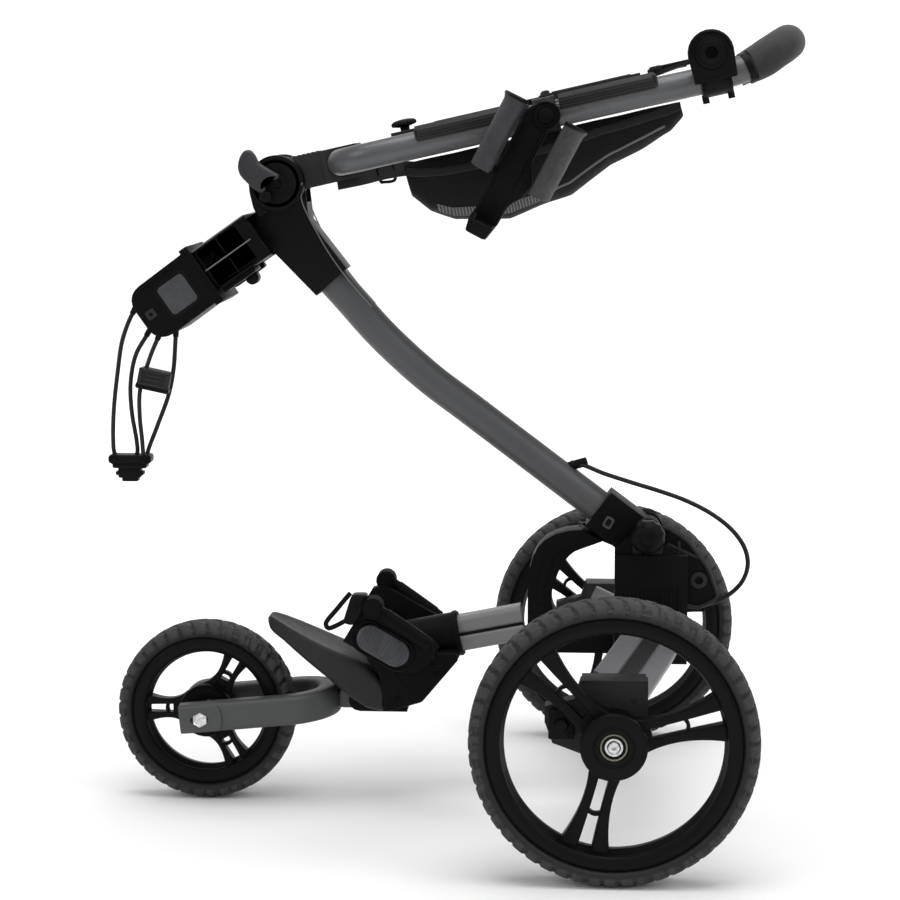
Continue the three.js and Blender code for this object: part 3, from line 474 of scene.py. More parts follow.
def anodised(name, dark, light, roughness=0.42, stretch=(4, 260, 260), metallic=0.35):
    # drawn aluminium: fine streaks along the tube under a satin oxide
    finish, tree, shader = newFinish(name, light, roughness, metallic=metallic, specular=0.4)
    streaks = noiseAt(tree, coordinates(tree, stretch), 6, 5, 0.6)
    cloud = noiseAt(tree, coordinates(tree), 9, 3)
    both = maths(tree, "ADD", maths(tree, "MULTIPLY", streaks, 0.55), maths(tree, "MULTIPLY", cloud, 0.45))
    tree.links.new(colourBetween(tree, ranged(tree, both, 0, 1, 0.35, 0.65), dark, light),
                   shader.inputs["Base Color"])
    tree.links.new(ranged(tree, streaks, roughness - 0.06, roughness + 0.1, 0.3, 0.7),
                   shader.inputs["Roughness"])
    bumpFrom(tree, shader, streaks, 0.12, 0.00006)
    return finish


def turnedSteel(name):
    finish, tree, shader = newFinish(name, (0.66, 0.66, 0.67), 0.24, metallic=1.0)
    rings = node(tree, "ShaderNodeTexWave", wave_type="RINGS", rings_direction="Y", Scale=900,
                 Distortion=0.6)
    tree.links.new(coordinates(tree), rings.inputs["Vector"])
    tree.links.new(ranged(tree, rings.outputs["Fac"], 0.18, 0.34), shader.inputs["Roughness"])
    dirt = noiseAt(tree, coordinates(tree), 320, 4)
    tree.links.new(colourBetween(tree, ranged(tree, dirt, 0, 1, 0.35, 0.6), (0.42, 0.42, 0.43),
                                 (0.72, 0.72, 0.73)),
                   shader.inputs["Base Color"])
    bumpFrom(tree, shader, rings.outputs["Fac"], 0.1, 0.00005)
    return finish


def tyreRubber(name):
    # dusty on the tread, darker and cleaner on the walls
    finish, tree, shader = newFinish(name, (0.03, 0.03, 0.031), 0.72, specular=0.35)
    at = coordinates(tree)
    wear = node(tree, "ShaderNodeAttribute", attribute_name="tread")
    dust = maths(tree, "MULTIPLY", wear.outputs["Fac"], ranged(tree, noiseAt(tree, at, 130, 6, 0.7), 0.35,
                                                               1.0, 0.3, 0.7))
    tree.links.new(colourBetween(tree, dust, (0.005, 0.005, 0.0054), (0.05, 0.0505, 0.052)),
                   shader.inputs["Base Color"])
    tree.links.new(ranged(tree, dust, 0.52, 0.86), shader.inputs["Roughness"])
    bumpFrom(tree, shader, noiseAt(tree, at, 1500, 4, 0.7), 0.3, 0.00022)
    return finish


def foamSkin(name):
    finish, tree, shader = newFinish(name, (0.03, 0.03, 0.031), 0.78, specular=0.3)
    at = coordinates(tree)
    cells = node(tree, "ShaderNodeTexVoronoi", Scale=1150, feature="SMOOTH_F1")
    tree.links.new(at, cells.inputs["Vector"])
    mottle = noiseAt(tree, at, 55, 5, 0.65)
    tree.links.new(colourBetween(tree, ranged(tree, mottle, 0, 1, 0.3, 0.7), (0.013, 0.013, 0.0136),
                                 (0.03, 0.03, 0.0315)),
                   shader.inputs["Base Color"])
    tree.links.new(ranged(tree, mottle, 0.66, 0.86), shader.inputs["Roughness"])
    bumpFrom(tree, shader, cells.outputs["Distance"], 0.5, 0.0003)
    shader.inputs["Sheen Weight"].default_value = 0.12
    return finish


def softGrip(name, dark, light):
    finish, tree, shader = newFinish(name, light, 0.62, specular=0.35)
    at = coordinates(tree)
    mottle = noiseAt(tree, at, 40, 5, 0.6)
    tree.links.new(colourBetween(tree, ranged(tree, mottle, 0, 1, 0.3, 0.7), dark, light),
                   shader.inputs["Base Color"])
    tree.links.new(ranged(tree, noiseAt(tree, at, 210, 4), 0.5, 0.72, 0.3, 0.7),
                   shader.inputs["Roughness"])
    bumpFrom(tree, shader, noiseAt(tree, at, 2800, 2), 0.25, 0.00012)
    return finish


def wovenCloth(name, dark, light, threads=900, roughness=0.86, sheen=0.25):
    # plain weave along the piece's own UV map, in threads per metre
    finish, tree, shader = newFinish(name, light, roughness, specular=0.25)
    at = coordinates(tree, (threads, threads, 1), "UV")
    split = node(tree, "ShaderNodeSeparateXYZ")
    tree.links.new(at, split.inputs["Vector"])
    over = maths(tree, "SINE", maths(tree, "MULTIPLY", split.outputs["X"], math.pi))
    under = maths(tree, "SINE", maths(tree, "MULTIPLY", split.outputs["Y"], math.pi))
    weave = maths(tree, "MULTIPLY", over, under)
    cloud = noiseAt(tree, coordinates(tree), 30, 5, 0.65)
    tone = maths(tree, "ADD", maths(tree, "MULTIPLY", maths(tree, "ABSOLUTE", weave), 0.45),
                 maths(tree, "MULTIPLY", cloud, 0.6))
    tree.links.new(colourBetween(tree, tone, dark, light), shader.inputs["Base Color"])
    tree.links.new(ranged(tree, cloud, roughness - 0.08, roughness + 0.06, 0.3, 0.7),
                   shader.inputs["Roughness"])
    bumpFrom(tree, shader, weave, 0.5, 0.0003)
    shader.inputs["Sheen Weight"].default_value = sheen
    shader.inputs["Sheen Roughness"].default_value = 0.5
    return finish


def openNet(name):
    # hexagonal netting, light threads with dark holes
    finish, tree, shader = newFinish(name, (0.2, 0.2, 0.2), 0.8, specular=0.25)
    at = coordinates(tree, (420, 420, 1), "UV")
    cells = node(tree, "ShaderNodeTexVoronoi", Scale=1.0, Randomness=0.15, voronoi_dimensions="2D",
                 feature="DISTANCE_TO_EDGE")
    tree.links.new(at, cells.inputs["Vector"])
    thread = ranged(tree, cells.outputs["Distance"], 1, 0, 0.06, 0.2)
    tree.links.new(colourBetween(tree, thread, (0.012, 0.012, 0.013), (0.23, 0.23, 0.235)),
                   shader.inputs["Base Color"])
    tree.links.new(ranged(tree, noiseAt(tree, coordinates(tree), 60, 4), 0.7, 0.88),
                   shader.inputs["Roughness"])
    bumpFrom(tree, shader, thread, 0.6, 0.0005)
    return finish


def braidedCord(name):
    finish, tree, shader = newFinish(name, (0.03, 0.03, 0.032), 0.75, specular=0.3)
    at = coordinates(tree, (1, 1, 1), "UV")
    split = node(tree, "ShaderNodeSeparateXYZ")
    tree.links.new(at, split.inputs["Vector"])
    along = maths(tree, "MULTIPLY", split.outputs["X"], 2 * math.pi * 420)
    around = maths(tree, "MULTIPLY", split.outputs["Y"], 2 * math.pi * 4)
    left = maths(tree, "SINE", maths(tree, "ADD", along, around))
    right = maths(tree, "SINE", maths(tree, "SUBTRACT", along, around))
    braid = maths(tree, "MAXIMUM", left, right)
    tree.links.new(colourBetween(tree, ranged(tree, braid, 0, 1, -1, 1), (0.003, 0.003, 0.0034),
                                 (0.016, 0.016, 0.0172)),
                   shader.inputs["Base Color"])
    tree.links.new(ranged(tree, noiseAt(tree, coordinates(tree), 400, 3), 0.62, 0.85),
                   shader.inputs["Roughness"])
    bumpFrom(tree, shader, braid, 0.6, 0.0003)
    return finish


blackPlastic = grainedPlastic("blackPlastic", (0.0022, 0.0022, 0.0024), (0.0046, 0.0046, 0.005),
                              specular=0.07)
satinBlack = grainedPlastic("satinBlack", (0.002, 0.002, 0.0023), (0.0046, 0.0046, 0.005), (0.34, 0.48),
                            3400, 0.1)
charcoalPlastic = grainedPlastic("charcoalPlastic", (0.018, 0.0184, 0.0195), (0.03, 0.0304, 0.032),
                                 specular=0.14)
greyPlastic = grainedPlastic("greyPlastic", (0.05, 0.0505, 0.052), (0.074, 0.075, 0.077), specular=0.18)
leverPlastic = grainedPlastic("leverPlastic", (0.022, 0.0215, 0.024), (0.04, 0.039, 0.044), (0.36, 0.5),
                              specular=0.25)
# a pale finish for thin strips that paint highlights along edges and centre lines of black parts
paintedHighlightLine = grainedPlastic("paintedHighlightLine", (0.1, 0.1, 0.104), (0.16, 0.16, 0.164), (0.35, 0.5))
mainAnodised = anodised("mainAnodised", (0.068, 0.0695, 0.072), (0.09, 0.0915, 0.095))
lightAnodised = anodised("lightAnodised", (0.16, 0.162, 0.165), (0.2, 0.202, 0.205))
legAnodised = anodised("legAnodised", (0.15, 0.15, 0.156), (0.19, 0.19, 0.2), 0.42, (260, 4, 260))
forkPaint = anodised("forkPaint", (0.058, 0.06, 0.06), (0.076, 0.078, 0.0775), 0.48)
steel = turnedSteel("turnedSteel")
rubber = tyreRubber("tyreRubber")
foam = foamSkin("foamSkin")
padRubber = softGrip("padRubber", (0.046, 0.047, 0.053), (0.08, 0.082, 0.091))
jawRubber = softGrip("jawRubber", (0.02, 0.02, 0.0235), (0.036, 0.036, 0.042))
jawGrey = softGrip("jawGrey", (0.018, 0.018, 0.019), (0.034, 0.034, 0.036))
quadRubber = softGrip("quadRubber", (0.032, 0.033, 0.036), (0.062, 0.064, 0.07))
cloth = wovenCloth("basketCloth", (0.0018, 0.0018, 0.002), (0.007, 0.007, 0.0076), sheen=0.03)
webbing = wovenCloth("webbing", (0.006, 0.006, 0.0065), (0.024, 0.024, 0.026), 600)
net = openNet("basketNet")
cordBraid = braidedCord("cordBraid")
cableSleeve = softGrip("cableSleeve", (0.003, 0.003, 0.003), (0.0065, 0.0065, 0.007))
print("cart: finishes made")


# cords

def stripUv(rows, columns, along, closeColumns=True):
    # per corner: u runs along the piece in metres, v once round its section
    r, c = np.meshgrid(np.arange(rows - 1), np.arange(columns if closeColumns else columns - 1),
                       indexing="ij")
    corners = [(r, c), (r, c + 1), (r + 1, c + 1), (r + 1, c)]
    return np.stack([np.stack([along[a], b / columns], -1) for a, b in corners], 2).reshape(-1, 2)


def cordShell(path, radius, sides=12, up=(0, 1, 0), ends=1.0):
    points, faces = carried(path, circle(radius, sides), roundEnds=ends, up=up)
    rows = len(points) // sides
    rings = points.reshape(rows, sides, 3).mean(1)
    along = np.concatenate([[0], np.cumsum(np.linalg.norm(np.diff(rings, axis=0), axis=1))]) / 1000
    blank = np.zeros((2 * sides, 2))
    return points, faces, 0, np.vstack([stripUv(rows, sides, along), blank])


cordSizes = {"bungeeRadius": 2.4, "cableRadius": 2.5, "ferruleRadius": 3.2, "steps": 150}
adjusterShape = {"middle": (-503.5, 479.5), "tilt": 12.0}
bungeeFrontRoute = [
    (-527.2, -45, 553), (-533, -45, 541), (-540, -46, 520), (-545, -47, 488), (-550, -48, 445),
    (-551, -49, 412), (-550, -49, 399), (-545, -49, 390), (-537, -49, 387.5), (-529, -49, 390),
    (-524.5, -49, 399), (-525, -49, 412), (-530, -48, 444), (-531, -47, 475), (-525, -46, 506),
    (-512, -45, 529)]
bungeeRearRoute = [
    (-499, -52, 525.5), (-505, -53, 512), (-512, -55, 492), (-519, -56, 468), (-519.5, -57, 440),
    (-517.5, -57, 416), (-516.5, -56.5, 400), (-516, -54, 393), (-515.5, -49, 389.8), (-515, -44, 393),
    (-514, -41.5, 400), (-503, -42, 428), (-490, -43, 462), (-484, -44, 489), (-480.5, -45, 528.5)]
cableRoute = [
    (-49, -2, 386), (-34, -6, 383), (-15, -11, 376), (16, -18, 367), (51, -22, 357), (77, -24, 348),
    (105, -26, 334), (128, -26, 316), (142, -24, 296), (146, -21, 277), (141, -16, 258), (128, -10, 242),
    (108, -4, 230), (81, 0, 225)]


def makeAdjuster():
    # a toothed slider: a solid block with a raised grey frame, two ribs in it and a dark band below
    tilt = math.radians(adjusterShape["tilt"])
    cx, cz = adjusterShape["middle"]

    def plate(u0, u1, v0, v1, y0, y1, edge, corner):
        corners = np.array([(u0, v0), (u1, v0), (u1, v1), (u0, v1)], float)
        u, v = corners.T
        turnedTo = np.stack([cx + u * math.cos(tilt) + v * math.sin(tilt), cz - u * math.sin(tilt)
                             + v * math.cos(tilt)], -1)
        return slab(turnedTo, y0, y1, edge, corner)
    shells = [(*plate(-18.5, 18.5, -11.5, -5, -60.6, -39.5, 1.4, 2.5), 1),
              (*plate(-17.5, 17.5, -6.5, 11.5, -59.6, -40.5, 1.4, 2.5), 0)]
    for u0, u1, v0, v1 in ((-17.5, 17.5, 8.6, 11.6), (-17.5, 17.5, -6.6, -3.8), (-17.5, -13.2, -6, 11),
                           (13.2, 17.5, -6, 11),
                           (-10.5, 10.5, 3.6, 5.4), (-10.5, 10.5, -0.8, 1.2)):
        shells.append((*plate(u0, u1, v0, v1, -61.4, -58.5, 0.8, 0.9), 0))
    return addPiece("cord_adjuster_slider", shells, [charcoalPlastic, satinBlack], "saddle",
                    "cord_adjuster")


def makeHook():
    # a flat clip: the cords' loops pass through its bar, and a stepped catch hangs below
    bars = [block(-555, -508, -60, -38, 388, 397.5, 2.0, 3.5), block(-551, -513, -58, -40, 382.5, 389, 1.6,
            2.5),
            block(-545, -520, -56, -42, 371.5, 383.5, 1.6, 2.5),
            block(-548, -517, -55, -43, 374.5, 379, 1.2, 1.8),
            block(-541, -523, -55, -43, 367.6, 373, 1.2, 1.8)]
    bars += [rod((x, -60.6, 392), (x, -37.6, 392), 4.6, 32, 0.8) for x in (-549, -514)]
    return addPiece("cord_hook_clip", bars, satinBlack, "saddle", "cord_hook")


def makeCords():
    adjuster = makeAdjuster()
    hook = makeHook()
    for part, route, pieces in (("bungee_front", bungeeFrontRoute, [hook]),
                                 ("bungee_rear", bungeeRearRoute, [adjuster])):
        path = smoothPath(route, cordSizes["steps"])
        cord = addPiece(part + "_braid", [cordShell(path, cordSizes["bungeeRadius"])], cordBraid,
                        "saddle",
                        part, angle=80)
        line = cartSeat(path) / 1000
        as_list(pieces)
    # short ferrules take both ends of each bungee up into the saddle
    ferrules = []
    for route in (bungeeFrontRoute, bungeeRearRoute):
        for here, beyond in ((route[0], route[1]), (route[-1], route[-2])):
            here, way = np.array(here, float), np.array(here, float) - beyond
            way /= np.linalg.norm(way)
            ferrules.append(rod(here - 2 * way, here + 11 * way, cordSizes["ferruleRadius"], 24, 0.8))
    addPiece("cord_ferrules", ferrules, satinBlack, "saddle")
    path = smoothPath(cableRoute, cordSizes["steps"])
    cable = addPiece("brake_cable_sleeve", [cordShell(path, cordSizes["cableRadius"])], cableSleeve, None,
                     "brake_cable", angle=80)
    line = cartSeat(path) / 1000
    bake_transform(cable)


makeCords()
print("cart: cords hung")


# wheels

rearWheel = {"radius": 146.0, "width": 48.0, "blocks": 52, "tread": 1.5, "hub": 30.0, "spoke": 8.0,
             "steps": 16}
frontWheel = {"radius": 101.0, "width": 44.0, "blocks": 38, "tread": 1.4, "hub": 30.0, "spoke": 8.0,
              "steps": 16}
wheelFit = {"tyreHeight": 19.0, "rimDepth": 13.5, "gap": 0.4, "bearing": 14.0}


def smoothStep(value, low, high):
    t = np.clip((value - low) / (high - low), 0, 1)
    return t * t * (3 - 2 * t)


def tyreShell(spec, centre):
    # a rounded band whose tread sinks wherever the sum of two leaning waves round it falls below
    # zero, which leaves shallow leaf-like blocks on the crown and down both shoulders
    radius, half, high = spec["radius"], spec["width"] / 2, wheelFit["tyreHeight"]
    inner = radius - high
    wall = [(inner, half - 11), (inner + 0.6, half - 8), (inner + 3.5, half - 3.2),
            (inner + 6, half - 1.6),
            (inner + 8.5, half - 1.0), (radius - 8.0, half - 0.6), (radius - 6.2, half - 0.9),
            (radius - 4.2, half - 2.4), (radius - 2.4, half - 5.0), (radius - 1.0, half - 9.0),
            (radius - 0.2, half - 15.0), (radius, 0)]
    wall = smoothPath([(r, y, 0) for r, y in wall], 26)[:, :2]
    profile = np.vstack([wall, (wall * (1, -1))[-2::-1]])
    across = profile[:, 1] / half
    climb = smoothStep(profile[:, 0], radius - 12.5, radius - 9.0)[:, None]
    columns = spec["blocks"] * spec["steps"]
    a = np.arange(columns) * 2 * np.pi / columns
    turn = spec["blocks"] * a[None, :]
    s = across[:, None]
    lean = 3.4 * np.abs(s) ** 1.3 + np.where(across > 0, 1.3, 0)[:, None]
    leaf = 0.62 * np.sin(turn + lean + 0.7 * np.sin(3 * a + 2 * s)) \
        + 0.38 * np.sin(2 * turn - 5.5 * s + 1.1 + 0.5 * np.sin(5 * a)) + 0.16 * np.sin(19 * s
                + 0.5 * turn)
    tall = smoothStep(leaf, -0.50, 0.02)
    depth = spec["tread"] * climb * (1 - tall)
    length = np.gradient(profile, axis=0)
    length /= np.linalg.norm(length, axis=1)[:, None]
    outward = np.stack([-length[:, 1], length[:, 0]], -1)
    outward *= np.sign(outward[:, :1] + 1e-9)
    r = profile[:, :1] - depth * np.abs(outward[:, :1])
    y = profile[:, 1:] - depth * outward[:, 1:]
    rings = np.stack([r * np.cos(a), y, r * np.sin(a)], -1)
    bead = np.stack([(inner - 0.0) * np.cos(a), np.full_like(a, -(half - 11)), (inner - 0.0) * np.sin(a)],
                    -1)
    rings = np.concatenate([rings, bead[None]])
    tread = np.concatenate([(climb * tall).ravel(), np.zeros(columns)])
    points, faces = loft(rings + np.asarray(centre, float), caps=False, closeRows=True)
    return (points, faces), tread


def spin(points, degrees, centre):
    # turned about Y so that local +X points up to the given angle in the x-z plane, then moved
    c, s = math.cos(math.radians(degrees)), math.sin(math.radians(degrees))
    x, z = points[:, 0] * c - points[:, 2] * s, points[:, 0] * s + points[:, 2] * c
    return np.stack([x, points[:, 1], z], -1) + np.asarray(centre, float)


def ribShell(r, low, high, halfDepth):
    # a bar along r whose section is a rounded square between low(r) and high(r)
    section = roundedSquare(1, 1, 6.0, 20)
    mid, half = (low + high) / 2, (high - low) / 2
    rings = np.stack([np.repeat(r[:, None], len(section), 1), halfDepth[:, None] * section[None, :, 1],
                      mid[:, None] + half[:, None] * section[None, :, 0]], -1)
    return loft(rings)


def quadratic(t, a, b, c):
    return (1 - t) ** 2 * a + 2 * t * (1 - t) * b + t ** 2 * c


def spokeShells(spec, angle, centre):
    reach = spec["radius"] - wheelFit["tyreHeight"] - wheelFit["rimDepth"] + 2
    hub = spec["hub"]
    t = np.linspace(0, 1, 28)
    r = quadratic(t, hub * 0.8, 0.55 * reach, reach)
    outer = quadratic(t, hub * 0.64, 0.062 * reach, 0.24 * reach)
    inner = quadratic(t, 5.2, 4.2, 0.062 * reach)
    depth = spec["spoke"] * (1.0 - 0.18 * np.sin(np.pi * t)) + 3.0 * t ** 4
    shells = [ribShell(r, inner, outer, depth), ribShell(r, -outer, -inner, depth)]
    centreWeb = np.linspace(hub * 0.8, hub + 9, 6)
    flat = np.full(6, 1.0)
    shells.append(ribShell(centreWeb, -7 * flat, 7 * flat, 6.0 * flat))
    bow = np.linspace(-1, 1, 9)
    bridge = np.stack([0.66 * reach - 2.4 * bow ** 2, np.zeros(9), 6.4 * bow], -1)
    shells.append(carried(bridge, roundedSquare(2.0, 5.0, 4, 16), up=(0, 1, 0)))
    return [(spin(p, angle, centre), f) for p, f in shells]


def makeWheel(spec, centre, angles, body, names, hubHalf):
    radius, half = spec["radius"], spec["width"] / 2
    seatTop = radius - wheelFit["tyreHeight"] - wheelFit["gap"]
    seatLow = seatTop - wheelFit["rimDepth"]
    shell, tread = tyreShell(spec, centre)
    mesh = bpy.data.meshes.new(names["tyre"] + "_tread")
    fillMesh(mesh, [(cartSeat(shell[0]), shell[1])])
    mesh.materials.append(rubber)
    mark = mesh.attributes.new("tread", "FLOAT", "POINT")
    mark.data.foreach_set("value", tread.astype(np.float32))
    faceOut(mesh, 50)
    piece = bpy.data.objects.new(names["tyre"] + "_tread", mesh)
    bpy.context.scene.collection.objects.link(piece)
    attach(piece, body)
    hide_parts(names["tyre"])
    lip = [(seatLow, half - 7.5), (seatLow + 0.8, half - 5.6), (seatLow + 3.2, half - 4.2),
           (seatTop - 6, half - 3.0), (seatTop - 3.2, half - 2.9), (seatTop - 1.0, half - 3.6),
           (seatTop + 1.6, half - 5.2), (seatTop + 1.6, half - 12)]
    other = [(r, -y) for r, y in lip[::-1]]
    inside = [(seatLow, -half + 12), (seatLow - 1.6, -half + 14), (seatLow - 1.6, -4), (seatLow - 3.0, -2),
              (seatLow - 3.0, 2), (seatLow - 1.6, 4), (seatLow - 1.6, half - 14), (seatLow, half - 12)]
    shells = [turned(lip + other + inside, 144, centre, closed=True)]
    bore = wheelFit["bearing"] + wheelFit["gap"]
    hub = [(bore, -hubHalf), (bore + 1.5, -hubHalf - 0.4), (spec["hub"] - 6, -hubHalf - 0.4),
           (spec["hub"] - 5, -hubHalf + 1.4), (spec["hub"] - 3, -hubHalf + 1.4),
           (spec["hub"] - 0.8, -hubHalf + 0.8), (spec["hub"], -hubHalf + 2.4)]
    hub += [(r, -y) for r, y in hub[::-1]]
    shells.append(turned(hub, 72, centre, closed=True))
    for angle in angles:
        shells += spokeShells(spec, angle, centre)
    addPiece(names["rim"] + "_wheel", shells, satinBlack, body, names["rim"], angle=42)
    print("cart:", names["tyre"], "and rim done")


rearCentreY = 293.5
for side, word, angles in ((-1, "left", (135, 15, 255)), (1, "right", (20, 140, 260))):
    centre = (0, side * rearCentreY, rearWheel["radius"])
    makeWheel(rearWheel, centre, angles, "rear_wheel_" + word,
              {"tyre": "rear_tyre_" + word, "rim": "rear_rim_" + word}, 20.0)
makeWheel(frontWheel, (-458, 0, frontWheel["radius"]), (180, 60, 300), "front_wheel",
          {"tyre": "front_tyre", "rim": "front_rim"}, 18.0)

hubFit = {"capOut": 25.4, "capIn": 20.4, "capRadius": 34.0, "bearingOut": 24.0, "axleOut": 25.0}


def makeHub(side, word):
    centre = np.array([0, side * rearCentreY, rearWheel["radius"]])

    def out(profile):
        return [(r, side * y) for r, y in profile]
    low, high, wide = hubFit["capIn"], hubFit["capOut"], hubFit["capRadius"]
    cap = [(14.6, low), (14.6, high - 0.8), (15.3, high - 0.1), (18.5, high - 0.1), (19.2, high - 0.9),
           (20.6, high - 0.9), (21.3, high), (wide - 3.2, high), (wide - 1.2, high - 0.7),
           (wide - 0.2, high - 2.0),
           (wide, low + 0.6), (wide - 0.6, low)]
    addPiece("rear_hub_cap_%s_disc" % word, [turned(out(cap), 96, centre, closed=True)], satinBlack,
             "rear_wheel_" + word, "rear_hub_cap_" + word, angle=30)
    top = hubFit["bearingOut"]
    race = [(6.4, -20), (6.4, top - 1.6), (7.0, top - 1.0), (9.0, top - 1.0), (9.3, top - 1.6), (9.3, -20)]
    seal = [(9.35, -18), (9.35, top - 2.0), (9.9, top - 1.7), (11.6, top - 1.7), (11.9, top - 2.1),
            (11.9, -18)]
    ring = [(11.95, -20), (11.95, top - 1.3), (12.3, top - 0.6), (13.5, top - 0.6), (13.95, top - 1.2),
            (13.95, -20)]
    shells = [(*turned(out(race), 64, centre, closed=True), 0),
              (*turned(out(seal), 64, centre, closed=True), 1),
              (*turned(out(ring), 64, centre, closed=True), 2)]
    addPiece("rear_bearing_%s_races" % word, shells, [steel, satinBlack, agedBrass], "rear_wheel_" + word,
             "rear_bearing_" + word, angle=30)
    end = hubFit["axleOut"]
    axle = [(0.01, -42), (5.9, -42), (6.0, -41.5), (6.0, end - 0.9), (5.4, end - 0.1), (2.3, end),
            (1.9, end - 1.2),
            (0.01, end - 1.6)]
    addPiece("rear_axle_%s_pin" % word, [turned(out(axle), 48, centre)], steel, "root",
             "rear_axle_" + word, angle=30)


agedBrass = anodised("agedBrass", (0.16, 0.15, 0.11), (0.3, 0.28, 0.2), 0.4, (200, 200, 200))
makeHub(-1, "left")
makeHub(1, "right")
addPiece("front_axle_pin", [rod((-458, -56.8, 101), (-458, 56.8, 101), 5.5)]
         + [rod((-458, s * 55.4, 101), (-458, s * 59, 101), 8.5, 6) for s in (-1, 1)],
         steel, "fork", "front_axle", angle=30)
print("cart: hubs done")


# base

legShape = {"width": 61.0, "thick": 20.0, "channel": 9.0, "twist": 25.0, "start": (40, 60, 196),
            "end": (0, 236, 180)}


def makeLeg(side, word):
    # two rounded lobes with a flat-bottomed channel between them, carried from housing to carrier
    half, depth, channel = legShape["width"] / 2, legShape["thick"] / 2, legShape["channel"]
    lobe = 2.8
    section = softCorners([
        (-half, -depth), (half, -depth), (half, depth), (channel + 1, depth), (channel, depth - 4.2),
        (-channel, depth - 4.2), (-channel - 1, depth), (-half, depth)], lobe, 6)
    start = np.array(legShape["start"], float) * (1, side, 1)
    end = np.array(legShape["end"], float) * (1, side, 1)
    way = (end - start) / np.linalg.norm(end - start)
    tilt = math.radians(legShape["twist"])
    across = np.array([math.cos(tilt), 0, -math.sin(tilt)])
    across -= way * (across @ way)
    across /= np.linalg.norm(across)
    up = np.cross(way, across)
    up *= 1 if up[2] > 0 else -1
    t = np.linspace(0, np.linalg.norm(end - start) - 8.5, 24)[:, None, None]
    rings = start + way * t + section[None, :, :1] * across + section[None, :, 1:] * up
    strip = softCorners([(-channel + 0.4, depth - 4.9), (channel - 0.4, depth - 4.9),
                         (channel - 0.4, depth - 3.6),
                         (-channel + 0.4, depth - 3.6)], 0.4, 3)
    lining = start + way * t + strip[None, :, :1] * across + strip[None, :, 1:] * up
    addPiece("rear_leg_%s_extrusion" % word, [(*loft(rings), 0), (*loft(lining), 1)],
             [legAnodised, charcoalPlastic],
             "root", "rear_leg_" + word, angle=34)


for side, word in ((-1, "left"), (1, "right")):
    makeLeg(side, word)
    face = side * 271.6
    screws = [screwHead((x, face, z), side, r, 1.3) for x, z,
              r in ((-8, 176, 3.6), (20, 184, 3.0), (16, 138, 2.6))]
    moulded("hub_carrier_" + word, charcoalPlastic, 1.8, screws)
    outer = side * 280.6
    holes = [turned([(0.01, 0), (2.4, 0), (2.4, side * 1.0), (3.4, side * 1.0), (3.4, side * -0.4),
                     (0.01, side * -0.4)],
                    28, (x, outer, z)) for x, z in ((-62, 170), (-44, 170), (-44, 148))]
    moulded("brake_block_" + word, satinBlack, 1.3, holes)

housingRibs = [slab([(6 + k * 9, 172), (9 + k * 9, 172), (9 + k * 9, 164 + 90), (6 + k * 9, 164 + 90)], y0,
                    y1, 0.8, 0.8)
               for k in range(8) for y0, y1 in ((-41.2, -39.6), (39.6, 41.2))]
moulded("centre_housing", blackPlastic, 2.4, housingRibs + [
    screwHead((40, s * 31.0, 268), s, 4.2, 1.8) for s in (-1, 1)])
plateSide = softCorners([(52, 317), (79, 301), (103, 269), (115, 236), (92, 224), (66, 232), (52, 262)], 8,
                        6)
plateRim = np.vstack([plateSide, plateSide[:1]])
struts = [((58, 296), (92, 281)), ((62, 262), (80, 243)), ((70, 300), (74, 240))]
bracketShells = [(*slab(plateSide, -6, 6, 1.6, 0), 0)]
for y in (-7, 7):
    bracketShells.append((*carried(np.insert(plateRim, 1, y, axis=1), circle(2.3, 12), up=(0, 1, 0)), 1))
    for (xa, za), (xb, zb) in struts:
        bracketShells.append((*rod((xa, y, za), (xb, y, zb), 2.2, 16, 1), 1))
    bracketShells.append((*turned([(4.6, y - 2), (4.6, y + 2), (6.8, y + 2.2), (9.2, y + 1.6),
                                   (9.2, y - 1.6), (6.8, y - 2.2)],
                                  40, (93, 0, 256), closed=True), 1))
addPiece("housing_bracket", bracketShells, [satinBlack, charcoalPlastic], "root")
cover = [slab([(20, 284), (52, 284), (53, 312), (46, 327), (36, 331), (26, 327), (19, 312)],
              *sorted((s * 30.8, s * 33.6)), 1.3, 8)
         for s in (-1, 1)]
addPiece("fold_covers", cover, charcoalPlastic, "root")
addPiece("fold_pin_rod", [rod((36, -34, 310), (36, 34, 310), 5.0)], steel, "root", "fold_pin",
         angle=30)

lockKnob = {"lobes": 12, "lobeDepth": 0.9}


def makeLockKnob():
    # a turned knob whose rim is scalloped: radius times 1 - depth * (1 + cos(lobes * a)) / 2
    profile = np.array([(0.01, 0), (13.6, 0), (14.4, 0.6), (18.2, 3.6), (19, 5.2), (19, 11.2),
                        (18.4, 13.4),
                        (16.2, 17.6), (14.6, 19.6), (10.4, 21.8), (6, 22.6), (5.4, 22.2), (0.01, 22.2)])
    a = np.arange(96) * 2 * np.pi / 96
    grip = smoothStep(profile[:, 0], 15, 18.5)[:, None]
    r = profile[:, :1] - grip * lockKnob["lobeDepth"] * (1 + np.cos(lockKnob["lobes"] * a)) / 2
    rings = np.stack([r * np.cos(a), np.repeat(-profile[:, 1:], 96, 1), r * np.sin(a)], -1)
    addPiece("lock_knob_grip", [loft(rings + (36, -34.5, 310))], satinBlack, "lock_knob",
             "lock_knob", angle=34)


makeLockKnob()
moulded("arch_frame", blackPlastic, 2.6, [
    slab([(-86, 232), (-80, 226), (-74, 254), (-66, 282), (-50, 296), (-56, 301), (-76, 290), (-84, 262)],
         s * 17 - 0.9,
         s * 17 + 0.9, 0.7, 3) for s in (-1, 1)])

baseTube = {"width": 30.0, "height": 39.0, "slope": 11.3, "end": (-101, 206), "length": 128.0}


